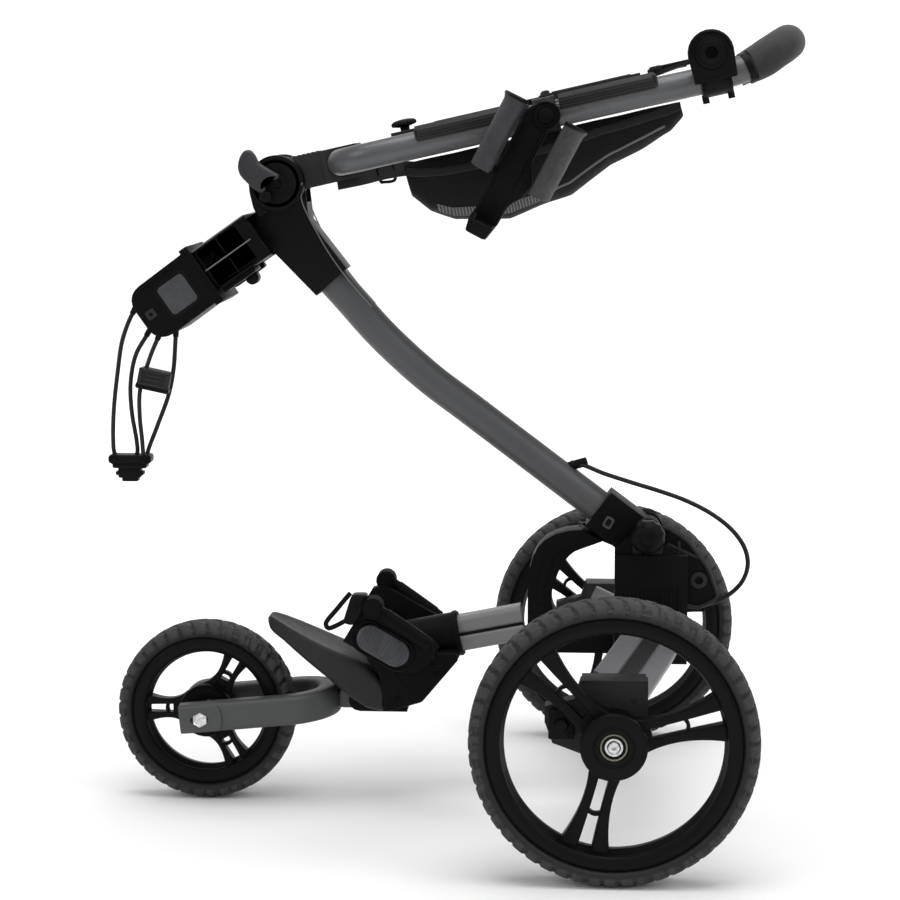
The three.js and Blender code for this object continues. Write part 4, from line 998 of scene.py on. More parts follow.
def makeBaseTube():
    w, h = baseTube["width"] / 2, baseTube["height"] / 2
    section = softCorners([(-w, -h), (w, -h), (w, -3.6), (w - 2.6, -1.2), (w - 2.6, 1.2), (w, 3.6), (w, h),
                           (-w, h), (-w, 3.6), (-w + 2.6, 1.2), (-w + 2.6, -1.2), (-w, -3.6)],
                          [7, 7, 2, 1, 1, 2, 7, 7, 2, 1, 1, 2], 7)
    slope = math.radians(baseTube["slope"])
    way = np.array([-math.cos(slope), 0, -math.sin(slope)])
    up = np.array([-math.sin(slope), 0, math.cos(slope)])
    ex, ez = baseTube["end"]
    t = np.linspace(0.2, baseTube["length"] - 0.2, 20)[:, None, None]
    rings = np.array([ex, 0, ez]) + way * t + section[None, :, :1] * np.array([0, 1.0, 0]) \
        + section[None, :, 1:] * up
    groove = [softCorners([(s * (w - 3.4), -1.6), (s * (w - 1.6), -1.6), (s * (w - 1.6), 1.6),
                           (s * (w - 3.4), 1.6)],
                          0.4, 3) for s in (-1, 1)]
    lines = [np.array([ex, 0, ez]) + way * t + g[None, :, :1] * np.array([0, 1.0, 0]) + g[None, :, 1:] * up
             for g in groove]
    addPiece("base_tube_extrusion", [(*loft(rings), 0)] + [(*loft(k), 1) for k in lines],
             [lightAnodised, satinBlack], "root", "base_tube", angle=34)


makeBaseTube()


def makeLowerHousing():
    # a round collar on the base tube over a low body, with room between its cheeks for the knuckle
    cheek = [(-283, 195), (-268, 199), (-240, 189), (-204, 176), (-176, 178), (-171, 170), (-212, 121),
             (-249, 110),
             (-255, 113), (-256, 128), (-260, 151), (-274, 171)]
    core = [(-283, 195), (-268, 199), (-240, 189), (-204, 176), (-176, 178), (-171, 170), (-212, 121),
            (-225, 118),
            (-225, 137), (-258, 137), (-260, 151), (-274, 171)]
    shells = [slab(cheek, *sorted((s * 24.5, s * 44)), 3.0, 3) for s in (-1, 1)]
    shells.append(slab(core, -30, 30, 0.4, 1))
    slope = math.radians(baseTube["slope"])
    way = np.array([-math.cos(slope), 0, -math.sin(slope)])
    ex, ez = baseTube["end"]
    end = np.array([ex, 0, ez])
    shells.append(rod(end + way * 71, end + way * 160, 24.5, 64, 3.0))
    shells.append(rod(end + way * 72.5, end + way * 77.5, 25.6, 64, 1.4))
    lip = smoothPath([(-276, -44, 188), (-262, -44, 181), (-238, -44, 172), (-212, -44, 165),
                      (-190, -44, 164)], 40)
    for s in (-1, 1):
        shells.append(carried(lip * (1, -s, 1), circle(1.3, 10), up=(0, 1, 0), roundEnds=1.0))
        shells += [screwHead((x, s * 44, z), s, 4.0, 1.6) for x, z in ((-240, 124), (-196, 152))]
    addPiece("lower_housing_shell", shells, blackPlastic, "root", "lower_housing")


makeLowerHousing()


def makeTongue():
    # stations from tip to root: place, half width, height of the top's rim, of its hollow and of the
    # underside
    stations = np.array([(-387.5, 8, 208, 207.5, 202), (-385, 13, 212, 210, 195),
                         (-380, 18, 211.5, 208, 190.5),
                         (-370, 24.5, 207.5, 203, 184.5), (-355, 31.5, 201, 195.5, 172.5),
                         (-338, 37, 193.5, 187, 159),
                         (-320, 40.5, 185.5, 179, 145), (-302, 42, 178, 172, 130),
                         (-287, 42, 171.5, 166, 118),
                         (-274, 42, 165, 160, 110), (-262, 42, 152, 149, 107.5),
                         (-256, 42, 142, 140, 108)])
    x = np.linspace(stations[0, 0], stations[-1, 0], 60)
    half, rim, hollow, under = (np.interp(x, stations[:, 0], stations[:, k]) for k in (1, 2, 3, 4))
    a = np.linspace(0, 2 * np.pi, 72, endpoint=False)
    # |y/half|^5 + |z/tall|^5 = 1 round the middle height, its top dished towards the hollow
    c, r = np.cos(a), np.sin(a)
    y = np.sign(c) * np.abs(c) ** 0.4
    z = np.sign(r) * np.abs(r) ** 0.4
    tall, middle = (rim - under) / 2, (rim + under) / 2
    dish = np.where(z > 0.5, 1, 0) * (1 - np.abs(y) ** 3)
    rings = np.stack(np.broadcast_arrays(
        x[:, None], half[:, None] * y, middle[:, None]
        + tall[:, None] * z - (rim - hollow)[:, None] * dish), -1)
    # the underside is notched where the fork's knuckle stands
    room = (rings[..., 0] > -312) & (np.abs(rings[..., 1]) < 26) & (rings[..., 2] < 139)
    rings[..., 2] = np.where(room, 139, rings[..., 2])
    addPiece("bag_tongue_scoop", [loft(rings)], charcoalPlastic, "root", "bag_tongue",
             angle=50)


makeTongue()
moulded("fork_knuckle", blackPlastic, 1.6)
print("cart: base done")


# fork

fork = {"width": 25.0, "height": 33.0, "inside": 60.0, "slope": 5.7, "bend": 97.0, "back": -24.0}


def makeFork():
    # a rounded tube bent into a U, its legs either side of the wheel
    middle = fork["inside"] / 2 + fork["width"] / 2
    a = np.linspace(-np.pi / 2, np.pi / 2, 40)
    arc = np.stack([fork["bend"] + middle * np.cos(a), middle * np.sin(a), np.zeros(40)], -1)
    legs = np.linspace(fork["back"], fork["bend"] - 3, 14)
    path = np.vstack([np.stack([legs, np.full(14, -middle), np.zeros(14)], -1), arc,
                      np.stack([legs[::-1], np.full(14, middle), np.zeros(14)], -1)])
    section = roundedSquare(fork["width"] / 2, fork["height"] / 2, 4.6, 40)
    place = seatAt((-458, 0, 101), -fork["slope"])
    shells = [moved(carried(path, section, roundEnds=4.0, up=(0, 0, 1)), place)]
    shells += [moved(slab([(-23, -14), (20, -14), (24, 0), (20, 14), (-23, 14)],
                          *sorted((s * 53, s * 55.6)), 1.0, 5), place)
               for s in (-1, 1)]
    shells.append(block(-308, -284, -12, 12, 106, 127, 2.0, 6))
    shells.append(rod((-284, -12, 117), (-284, 12, 117), 11))
    caps = [slab([(-23, -14.6), (22, -14.6), (25, 0), (22, 14.6), (-23, 14.6)],
                 *sorted((s * 54, s * 57.6)), 1.2, 5)
            for s in (-1, 1)]
    screws = [moved(screwHead((x, s * 57.2, 0), s, 3.0, 1.1), place) for s in (-1, 1) for x in (-8, 6)]
    addPiece("front_fork_tube", [(*k, 0) for k in shells + [moved(k, place) for k in caps]]
             + [(*k, 1) for k in screws],
             [forkPaint, satinBlack], "fork", "front_fork", angle=38)


makeFork()
print("cart: fork done")


# main tube

mainTube = {"radius": 18.0, "lower": 37.0, "upper": 48.0, "lowerLength": 256.0, "upperLength": 166.0,
            "root": (36, 296)}


def slopeWay(degrees):
    return np.array([-math.cos(math.radians(degrees)), 0, math.sin(math.radians(degrees))])


tubeRoot = np.array([mainTube["root"][0], 0, mainTube["root"][1]], float)
lowerWay, upperWay = slopeWay(mainTube["lower"]), slopeWay(mainTube["upper"])
tubeBend = tubeRoot + lowerWay * (mainTube["lowerLength"] + 84)
tubeTop = tubeBend + upperWay * mainTube["upperLength"]
tubePath = smoothPath([tubeRoot + lowerWay * 44, tubeRoot + lowerWay * 130, tubeBend - lowerWay * 90,
                       tubeBend - lowerWay * 34, tubeBend + upperWay * 34, tubeBend + upperWay * 90,
                       tubeTop], 90)
tubeNormal = np.array([lowerWay[2], 0, -lowerWay[0]])
gland = tubeRoot + lowerWay * 122 + tubeNormal * 14
addPiece("main_tube_drawn", [carried(tubePath, circle(mainTube["radius"], 56), roundEnds=1.2)],
         mainAnodised, "main",
         "main_tube", angle=40)
addPiece("cable_gland", [rod(gland, gland + tubeNormal * 12 + np.array([14, -3, -3]), 5.2, 28, 1.4)],
         satinBlack, "main",
         angle=40)
squareRim = [(-15, 319.5), (-8.5, 331), (0.5, 325.5), (-6, 314)]
socketBadges = [slab(squareRim, *sorted((s * 22.6, s * 24.2)), 0.8, 3) for s in (-1, 1)]
socketHoles = [slab([(-11.6, 320.6), (-7.6, 327.6), (-2.9, 324.5), (-6.9, 317.4)],
                    *sorted((s * 23, s * 24.5)), 0.3, 2) for s in (-1, 1)]
moulded("main_socket", blackPlastic, 2.2, [(*k, 0) for k in socketBadges] + [(*k, 1) for k in socketHoles],
        [greyPlastic, satinBlack])
print("cart: main tube done")


# handle joint and upper bracket

handleAxis = (-370, 0, 693)
jointDisc = {"radius": 30.0, "cheekIn": 20.0, "cheekOut": 37.0}


def makeJoint():
    x, z = handleAxis[0], handleAxis[2]
    shells, lines = [], []
    for s in (-1, 1):
        out, low = jointDisc["cheekOut"], jointDisc["cheekIn"]
        profile = [(5.6, low + 2), (5.6, out + 0.4), (13.0, out + 0.4), (13.6, out - 1.6),
                   (21.6, out - 1.6),
                   (22.2, out), (25.8, out), (26.6, out - 1.4), (28.4, out - 1.4), (29.2, out - 2.0),
                   (30.3, out - 4.0), (30.3, low + 2.4), (29.8, low + 2)]
        profile = [(r, s * y) for r, y in profile]
        shells.append(turned(profile, 96, handleAxis, closed=True))
        shells.append(slab([(x - 30.2, z + 1), (x - 29.6, z - 10), (x - 25.5, z - 27), (x - 20, z - 38),
                            (x - 6, z - 30),
                            (x - 12, z - 26), (x - 22, z - 14), (x - 26, z + 1)],
                            *sorted((s * 22, s * 34.5)), 1.6, 2))
    moulded("joint_sleeve", satinBlack, 2.2, shells)
    # a thin pale strip, a painted highlight, follows the sleeve's rear edge and climbs round the disc's rim
    line = np.array([(-268, 559), (-290, 584), (-311, 612), (-326, 637), (-337, 659), (-343, 676),
                     (-341.5, 694)])
    line = smoothPath(np.insert(line, 1, 0, axis=1)[:, :3], 60)
    for s in (-1, 1):
        path = line.copy()
        path[:, 1] = s * np.interp(path[:, 2], [560, 640, 668, 694], [22.8, 22.8, 30.0, 37.2])
        lines.append(carried(path, circle(0.75, 8), up=(1, 0, 0)))
    addPiece("joint_sleeve_painted_highlight", lines, paintedHighlightLine, "main", angle=60)
    caps = [rod((x, s * 38.2, z), (x, s * 39.2, z), 5.2, 32, 0.4) for s in (-1, 1)]
    addPiece("joint_pin_rod", [(*rod((x, -38.6, z), (x, 38.6, z), 5.0), 0)] + [(*k, 1) for k in caps],
             [steel, satinBlack], "main", "joint_pin", angle=30)


makeJoint()

camLever = {"thin": 39.5, "thick": 53.0}


def makeCamLever():
    # a paddle whose face swells toward its wide top
    outline = softCorners([(-12.3, -10.7), (-9.2, -6), (-10.7, -1.3), (-6, 3.5), (3.5, 4.3), (5.8, 9),
                           (-9.2, 17.7),
                           (-17, 22.4), (-20.2, 30.3), (-26, 36.6), (-32.5, 35.6), (-37.5, 28.8),
                           (-40, 18), (-37.6, 9),
                           (-30.5, 1.5), (-18.6, -8.6)], 5, 5)
    paddle = slab(outline, -camLever["thick"], -camLever["thin"], 4.2, 0, 6)
    thumb = slab(softCorners([(-21, 22), (-24, 29.5), (-30, 29.5), (-34.5, 19), (-31, 10.5), (-23, 5),
                              (-14, 10)], 4, 5),
                 -camLever["thick"] - 0.9, -camLever["thick"] + 1.0, 0.9, 0)
    foot = turned([(0.01, -50), (5.0, -50), (6.4, -48.8), (6.8, -47), (6.8, -39.6), (0.01, -39.6)][::-1],
                  36, (-10, 0, -14))
    place = seatAt(handleAxis)
    addPiece("cam_lever_paddle", [(*moved(paddle, place), 0), (*moved(thumb, place), 0),
                                  (*moved(foot, place), 1)],
             [leverPlastic, satinBlack], "cam_lever", "cam_lever", angle=44)


makeCamLever()


def beamShells(shells):
    return [(beamSeat(s[0]) - (180, 0, 0), *s[1:]) for s in shells]


def makeBracket():
    sides = ((-50.6, -46), (46, 50.6))
    # thin pale strips along the beam's underside edge and along the middle of each side are painted highlights
    lines = [slab([(4.5, -26.2), (73.6, -26.2), (73.6, -24.6), (4.5, -24.6)], -50.6, 50.6, 0.5, 0.5)]
    lines += [slab([(12, -0.9), (73, -0.9), (73, 0.7), (12, 0.7)], *y, 0.6, 0.7) for y in sides]
    panels = [slab([(4.5, -24.4), (74, -24.4), (74, 25.6), (4.5, 25.6)], y0 + 0.8, y1 - 0.8, 0.8, 2.5)
              for y0, y1 in sides]
    panels += [slab([(3.6, z - 1.2), (15, z - 1.2), (15, z + 1.2), (3.6, z + 1.2)], y0, y1, 0.6, 0.8)
               for z in (-23.4, 24.6) for y0, y1 in ((-50.4, -38.4), (38.4, 50.4))]
    ribs = [slab([(42.4, z0), (44.2, z0), (44.2, z1), (42.4, z1)], *y, 0.6, 0.6) for y in sides
            for z0, z1 in ((-22, -3), (3, 23))]
    moulded("upper_beam", blackPlastic, 1.6, beamShells([(*s, 0) for s in lines]
                                                        + [(*s, 1) for s in panels + ribs]),
            [paintedHighlightLine, blackPlastic])
    collars = [slab([(76, -33.2), (78.2, -33.2), (78.2, 36), (76, 36)], y0, y1, 0.6, 0.6)
               for y0, y1 in ((-56, -50), (50, 56))]
    rails = [slab([(88, z), (146, z + 1), (146, z + 3.5), (88, z + 2.5)], y0, y1, 0.8, 1)
             for z in (-27, 27.5) for y0, y1 in ((-55.9, -52), (52, 55.9))]
    badges = [slab([(143, -1), (154, -1), (154, 9), (143, 9)], *sorted((s * 54.4, s * 55.8)), 0.7, 2)
              for s in (-1, 1)]
    moulded("upper_saddle", blackPlastic, 3.4, beamShells([(*k, 0) for k in collars + rails + [
        screwHead((148.5, s * 55.7, 4), s, 2.2, 0.8) for s in (-1, 1)]] + [(*k, 1) for k in badges]),
            [blackPlastic, charcoalPlastic])
    for s, word in ((-1, "left"), (1, "right")):
        cushion = slab([(95, -14.5), (128.5, -14.5), (128.5, 20), (95, 20)], *sorted((s * 53.5, s * 56.9)),
                       1.7, 5)
        surround = slab([(91.5, -18), (132, -18), (132, 23.5), (91.5, 23.5)], *sorted((s * 53.5, s * 55.6)),
                      0.8, 7)
        addPiece("upper_pad_%s_cushion" % word, beamShells([(*cushion, 0), (*surround, 1)]),
                 [quadRubber, satinBlack], "saddle",
                 "upper_pad_" + word)
    knob = [turned([(0.01, -10.6), (5.2, -10.6), (6.8, -9.4), (7.3, -8), (7.3, 8), (6.8, 9.4), (5.2, 10.6),
                    (0.01, 10.6)],
                   40, (42, 0, 34))]
    moulded("saddle_release", satinBlack, 1.2, beamShells(knob))
    latch = [block(28, 70, s * 36 - 9, s * 36 + 9, 25, 31, 1.5, 2.5) for s in (-1, 1)]
    addPiece("latch_blocks", beamShells(latch), blackPlastic, "main")


makeBracket()
print("cart: joint and upper bracket done")


# wings of the lower bracket

wing = {"ribs": 14, "slope": 30.0, "reach": 31.0, "tall": 15.2}


def makeWing(side, word):
    # the pad is a pill with fine ribs square to its length
    slope = math.radians(wing["slope"])
    middle = np.array([-252, 191.5])
    length, up = np.array([math.cos(slope), -math.sin(slope)]), np.array([math.sin(slope),
            math.cos(slope)])

    def at(u, v):
        return middle + np.multiply.outer(u, length) + np.multiply.outer(v, up)
    a = np.linspace(0, 2 * np.pi, 64, endpoint=False)
    reach, tall = wing["reach"], wing["tall"]
    pill = at((reach - tall) * np.sign(np.cos(a)) * smoothStep(np.abs(np.cos(a)), 0.0, 0.12)
              + tall * np.cos(a),
              tall * np.sin(a))
    y = sorted((side * 70.5, side * 76.2))
    shells = [slab(pill, *y, 1.8, 0, 5)]
    for u in np.linspace(-reach + 5, reach - 5, wing["ribs"]):
        h = math.sqrt(max(tall ** 2 - max(abs(u) - reach + tall, 0) ** 2, 1)) - 2.2
        shells.append(slab(at(np.array([u - 0.9, u + 0.9, u + 0.9, u - 0.9]), np.array([-h, -h, h, h])),
                           *sorted((side * 75.6, side * 77.4)), 0.6, 0.5))
    addPiece("lower_pad_%s_pill" % word, shells, padRubber, "wing_" + word, "lower_pad_"
             + word)
    border = at((reach + 3 - tall) * np.sign(np.cos(a)) * smoothStep(np.abs(np.cos(a)), 0.0, 0.12)
              + (tall + 2.6) * np.cos(a),
              (tall + 2.6) * np.sin(a))
    rings = [carried(np.vstack([np.insert(border, 1, side * 74.2, axis=1),
                                [[*border[0][:1], side * 74.2, border[0][1]]]]),
                     circle(1.5, 10), up=(0, 1, 0))]
    tip = np.array([-262, side * 80, 236])
    bands = [turned([(0.01, y0), (10.7, y0), (11.2, y0 + 0.8), (11.2, y0 + 2.2), (10.7, y0 + 3.0),
                     (0.01, y0 + 3.0)], 40,
                    (tip[0], 0, tip[2])) for y0 in (side * 79.0 + np.arange(-9.5, 9, 4.4))]
    root = np.array([-200, side * 76, 193])
    ribs = [rod(tip + (root - tip) * 0.2, tip + (root - tip) * 0.9, 8.0, 28, 2.0)]
    moulded("lower_wing_" + word, blackPlastic, 1.6, rings + bands + ribs)


makeWing(-1, "left")
makeWing(1, "right")
loopPath = smoothPath([(-288, -70, 249), (-302, -70, 232), (-315, -70, 214.5), (-312.5, -70, 209.8),
                       (-304, -70, 212.5),
                       (-294, -70, 218)], 60)
blockShells = [slab([(-296, 217), (-286, 249), (-268, 249), (-274, 229), (-284, 214)], -80, -60, 3, 5),
               carried(loopPath, circle(2.7, 16), up=(0, 1, 0), roundEnds=1.0),
               screwHead((-283, -80, 236), -1, 3.2, 1.4)]
addPiece("cord_block_loop", blockShells, satinBlack, "wing_left", "cord_block")
print("cart: wings done")


# handle

handle = {"tube": 14.3, "half": 85.0, "lift": 6.5, "front": 74.0, "length": 568.0, "gripRise": 19.5,
          "foam": 18.5, "foamStart": 517.0, "deck": 26.0, "consoleStart": 165.0, "consoleEnd": 421.0}


def handleShells(shells):
    return [(handleSeat(s[0]) - (180, 0, 0), *s[1:]) for s in shells]


def mirrored(points):
    return np.vstack([points, (points * (1, -1, 1))[-2::-1]])


def makeHandleTube():
    w, lift, f = handle["half"], handle["lift"], handle["front"]
    end, rise = handle["length"], handle["gripRise"]
    start = handle["foamStart"]
    halfPath = np.array([
        (f, 6, lift), (f, 34, lift), (f + 5, 60, lift), (f + 24, w - 6, lift), (f + 52, w, lift),
        (250, w, lift), (380, w, lift), (start - 24, w, lift), (start + 10, w - 2, lift + 4),
        (end - 14, w - 16, lift + 0.72 * rise), (end - 2, 44, lift + 0.95 * rise),
        (end, 0, lift + rise)], float)
    path = smoothPath(mirrored(halfPath), 320)
    addPiece("handle_tube_drawn", handleShells([carried(path, circle(handle["tube"], 40), up=(0, 0, 1),
                                                        roundEnds=1.0)]),
             handleAnodised, "handle", "handle_tube", angle=40)
    inside = (path[:, 0] > start + 3) | ((path[:, 0] > end - 20) & (np.abs(path[:, 1]) < w - 10))
    run = path[inside]
    t = np.linspace(0, 1, len(run))
    swell = 1 - 0.05 * (smoothStep(np.abs(t - 0.5), 0.42, 0.5)) + 0.006 * np.sin(37 * t) * np.sin(13 * t
            + 1)
    grip = addPiece("foam_grip_sleeve", handleShells([carried(run, circle(handle["foam"], 48), swell, 3.5,
                                                              (0, 0, 1))]),
                    foam, "handle", "foam_grip", angle=60)
    rings = []
    for s in (-1, 1):
        a, b = np.array([start - 1.5, s * w, lift + 1.2]), np.array([start + 5.5, s * (w - 0.6), lift
                + 2.6])
        rings.append(rod(a, b, handle["foam"] - 1.6, 40, 1.4))
    addPiece("grip_collars", handleShells(rings), satinBlack, "handle", angle=40)


handleAnodised = anodised("handleAnodised", (0.085, 0.0865, 0.09), (0.125, 0.127, 0.13), 0.36,
                          (90, 90, 90), 0.5)
makeHandleTube()


def makeYoke():
    ribs = [block(x, x + 2.6, -15, 15, 22.4, 24.6, 0.7, 0.8) for x in np.arange(6, 50, 5.2)]
    deck = block(2, 56, -18, 18, 20.5, 23.2, 1.0, 1.5)
    screws = [screwHead((84, s * 32, 6), s, 4.0, 1.4) for s in (-1, 1)]
    moulded("handle_yoke", charcoalPlastic, 2.0, handleShells(
        [(*deck, 1)] + [(*r, 1) for r in ribs] + [(*s, 1) for s in screws]),
        [charcoalPlastic, satinBlack])


makeYoke()


def makeConsole():
    y, x0, x1, deck = 103.0, handle["consoleStart"], handle["consoleEnd"], handle["deck"]
    ridges = [slab([(x0 + 3, z), (x1 - 3, z), (x1 - 3, z + 1.3), (x0 + 3, z + 1.3)], s * y - 0.9, s * y
                   + 0.9, 0.6, 0.6)
              for z in (11.6, 14.4, 17.2) for s in (-1, 1)]
    shells = [(*r, 0) for r in ridges]
    wells = [(185, 282, 58), (302, 404, 54)]
    for a, b, half in wells:      # raised lip round each well
        lip = softCorners([(a - 1, -half - 1, deck), (b + 1, -half - 1, deck), (b + 1, half + 1, deck),
                           (a - 1, half + 1, deck)], 6, 7)
        loop = np.vstack([lip, lip[:1]])
        shells.append((*carried(loop, circle(1.1, 10), up=(0, 0, 1)), 0))
    for s in (-1, 1):
        for a, b in ((x0 - 1.5, x0 + 3), (x1 - 3, x1 + 2.5)):
            shells.append((*block(a, b, s * 96 - 7, s * 96 + 7, 12, deck - 2, 2.0, 3), 0))
        shells.append((*block(418, 431, s * 66 - 3, s * 66 + 3, 27, 32, 1.4, 2), 0))
        shells.append((*block(421, 462, s * 52 - 6, s * 52 + 6, 25.5, 31.5, 1.6, 2.5), 1))
    shells.append((*block(282, 300, -70, 70, deck - 0.6, deck + 1.4, 0.9, 1.5), 0))
    moulded("console_tray", charcoalPlastic, 1.5, handleShells(shells), [charcoalPlastic, satinBlack])
    bars = [block(312, 398, v - 1, v + 1, deck + 2.4, deck + 4.2, 0.7, 0.8)
            for v in np.linspace(-44, 44, 9)]
    bump = [block(300, 309, -11, 11, deck + 1.5, deck + 7.5, 1.6, 3)]
    moulded("console_lid", charcoalPlastic, 1.2, handleShells(bars + bump))
    a = np.arange(80) * 2 * np.pi / 80
    profile = np.array([(0.01, 0), (5, 0), (5.2, 3.6), (13.0, 5.2), (14, 6.2), (14, 8.2), (13, 9.8),
                        (10, 11.2),
                        (5, 12), (0.01, 12.2)])
    r = profile[:, :1] - 0.5 * (profile[:, :1] > 12) * (1 + np.cos(20 * a))
    rings = np.stack([147 + r * np.cos(a), r * np.sin(a), deck - 0.6 + np.repeat(profile[:, 1:], 80, 1)],
                     -1)
    addPiece("brake_knob_cap", handleShells([loft(rings)]), satinBlack, "brake_knob",
             "brake_knob")


makeConsole()


def clampShells(x, half, y=-85.0, radius=19.6):
    # a band round the side tube with two raised edges
    profile = [(14.8, -half), (radius - 1, -half), (radius, -half + 1), (radius, -half + 4),
               (radius - 1.2, -half + 5),
               (radius - 1.2, half - 5), (radius, half - 4), (radius, half - 1), (radius - 1, half),
               (14.8, half)]
    points, faces = turned(profile, 56, closed=True)
    # turned about Y, so y and x change places to lie along the tube
    return np.stack([points[:, 1] + x, points[:, 0] + y, points[:, 2] + handle["lift"]], -1), faces


def makeMounts():
    station = 482.7
    face = -113.3
    boss = [(6.6, 1), (6.6, -8.6), (8.2, -9.4), (11.6, -9.4), (12.6, -8.4), (13, -6.6), (13.2, -3.4),
            (16.4, -2.6),
            (17.4, -1.2), (17.6, 1)]
    boss = [(r, face + y) for r, y in boss]
    border = [slab([(station - 20, 4), (station + 20, 4), (station + 20, 6.2), (station - 20, 6.2)],
                 face - 0.9, face + 1, 0.6, 0.8)]
    edge = []
    a = np.linspace(0, np.pi, 40)
    arc = np.stack([station + 21.5 * np.cos(a), np.full(40, face - 0.2), 32 + 21.5 * np.sin(a)], -1)
    edge.append(carried(arc, circle(1.2, 10), up=(0, 1, 0), roundEnds=0.8))
    screws = [rod((station + d, -85, -18.5), (station + d, -85, -9), 3.6, 24, 1.0) for d in (-14, 13)]
    nuts = [screwHead((station + d, -111.6, -3 + 0 * d), -1, 3.0, 1.2) for d in (-14, 13)]
    centre = (station, 0, 31.6)
    moulded("accessory_mount", satinBlack, 1.8, handleShells(
        [turned(boss, 64, centre, closed=True), clampShells(station, 16)] + border + edge + screws + nuts))
    moulded("cup_clamp", satinBlack, 1.6, handleShells([clampShells(302.8, 12)]))


makeMounts()


def cupShells(shells):
    return [(cupSeat(s[0]) - (180, 0, 0), *s[1:]) for s in shells]


def makeCup():
    axisY, foot = -161.8, -129.0
    spineSide = [(-21, -4), (-14, 8), (2, 9), (10, -6), (10, -52), (20, -66), (20, -84), (9, -100),
                 (8, foot), (-21, foot)]
    spine = slab(spineSide, -119.8, -111.8, 1.6, 6)
    ribs = [slab([(x - 1, -14), (x + 1, -14), (x + 1, -120), (x - 1, -120)], -121.0, -118.6, 0.7, 0.8)
            for x in (-18, 6)]
    eyes = [turned([(5.2, -118), (5.2, -121.2), (8.6, -121.2), (9.4, -119.6), (12.4, -119.6),
                      (13.2, -121.4),
                      (14.6, -121.4), (15.4, -120.4), (15.4, -113)], 64, closed=True)]
    shelf = slab([(-21, foot + 3), (7, foot + 3), (4, foot - 12), (-18, foot - 12)], axisY - 8, -111.8,
                 2.0, 3)
    lip = slab([(-20.5, foot + 9), (-16, foot + 9), (-15, foot), (-20.5, foot)], axisY - 6, -124, 1.4, 2)
    wedge = slab([(6.6, foot + 2.4), (7.6, foot + 2.0), (4.8, foot - 11.6), (3.8, foot - 11.2)], axisY - 7,
                 -113, 0.4, 0.5)
    addPiece("cup_body_spine", cupShells([(*k, 0) for k in [spine, shelf, lip] + ribs + eyes]
                                         + [(*wedge, 1)]),
             [satinBlack, greyPlastic], "cup", "cup_body", angle=36)
    for s, word in ((-1, "front"), (1, "rear")):
        # a curved wall with a rounded rim: radius and height carried round the cup's axis
        section = softCorners([(41.8, -77), (45, -77), (45.2, -2), (47.0, 1.5), (45.4, 4.4), (42.6, 4.2),
                               (41.6, 0)], 1.6, 5)
        angle = (np.pi if s < 0 else 0) + np.linspace(-1, 1, 56)

        def swept(profile, at):
            return np.stack([profile[None, :, 0] * np.cos(at)[:, None], axisY
                             + profile[None, :, 0] * np.sin(at)[:, None],
                             np.repeat(profile[None, :, 1], len(at), 0)], -1)
        shells = [(*loft(swept(section, angle)), 0)]
        rimSection = softCorners([(41.2, 1.2), (47.6, 1.2), (47.6, 5.2), (41.2, 5.2)], 1.9, 5)
        shells.append((*loft(swept(rimSection, angle)), 1))
        shells.append((*rod((s * 26.6, -127.6, -72), (s * 26.6, -113, -72), 5.0, 28, 0.8), 1))
        addPiece("cup_jaw_%s_wall" % word, cupShells(shells),
                 [jawRubber if s < 0 else jawGrey, satinBlack],
                 "cup_jaw_" + word, "cup_jaw_" + word, angle=44)


makeCup()
print("cart: handle and cup done")


# basket

basket = {"half": 63.0, "rows": 150, "columns": 132, "thick": 1.6, "fold": 2.2, "top": -10.0}


def basketDepth(x):
    return np.interp(x, [142, 158, 182, 240, 310, 357, 396, 427, 444],
                     [-46, -66, -81, -93, -82, -60, -50, -40, -26])


def basketSurface(s, t):
    # s runs from front to back; t runs from the left top edge down, across the floor and up the right:
    # a U section |y/half|^4 + |z/depth|^4 = 1 whose floor sags, puckered by slow waves of cloth
    x = 143 + 299 * s
    low = basketDepth(x) * 0.985
    a = np.pi * t
    power = 2 / 4.6
    y = -basket["half"] * np.sign(np.cos(a)) * np.abs(np.cos(a)) ** power
    z = basket["top"] + (low - basket["top"]) * np.abs(np.sin(a)) ** power
    side = np.abs(np.cos(a)) ** 1.5
    wave = (np.sin(11 * s + 5 * t + 0.7) * 0.5 + np.sin(23 * s - 9 * t + 2.1) * 0.28
            + np.sin(7 * s + 17 * t) * 0.34 + np.sin(41 * s + 3 * t) * 0.10)
    calm = np.sin(np.pi * np.clip(t, 0, 1)) ** 0.25 * (1 - 0.4 * smoothStep(np.abs(s - 0.5), 0.42, 0.5))
    bend = basket["fold"] * wave * calm
    y = y - np.sign(y) * (0.5 + 0.5 * side) * np.abs(bend) * 0.9
    z = z + bend * (1 - side) * 0.8 + 1.0 * np.sin(30 * s) * side * 0.2
    return np.stack([x + 0.8 * np.sin(9 * t) * calm, y, z], -1)


def gridArea(grid):
    # half the length of each cell's crossed diagonals, summed
    one, two = grid[1:, 1:] - grid[:-1, :-1], grid[1:, :-1] - grid[:-1, 1:]
    return float(np.linalg.norm(np.cross(one, two), axis=-1).sum() / 2 / 1e6)


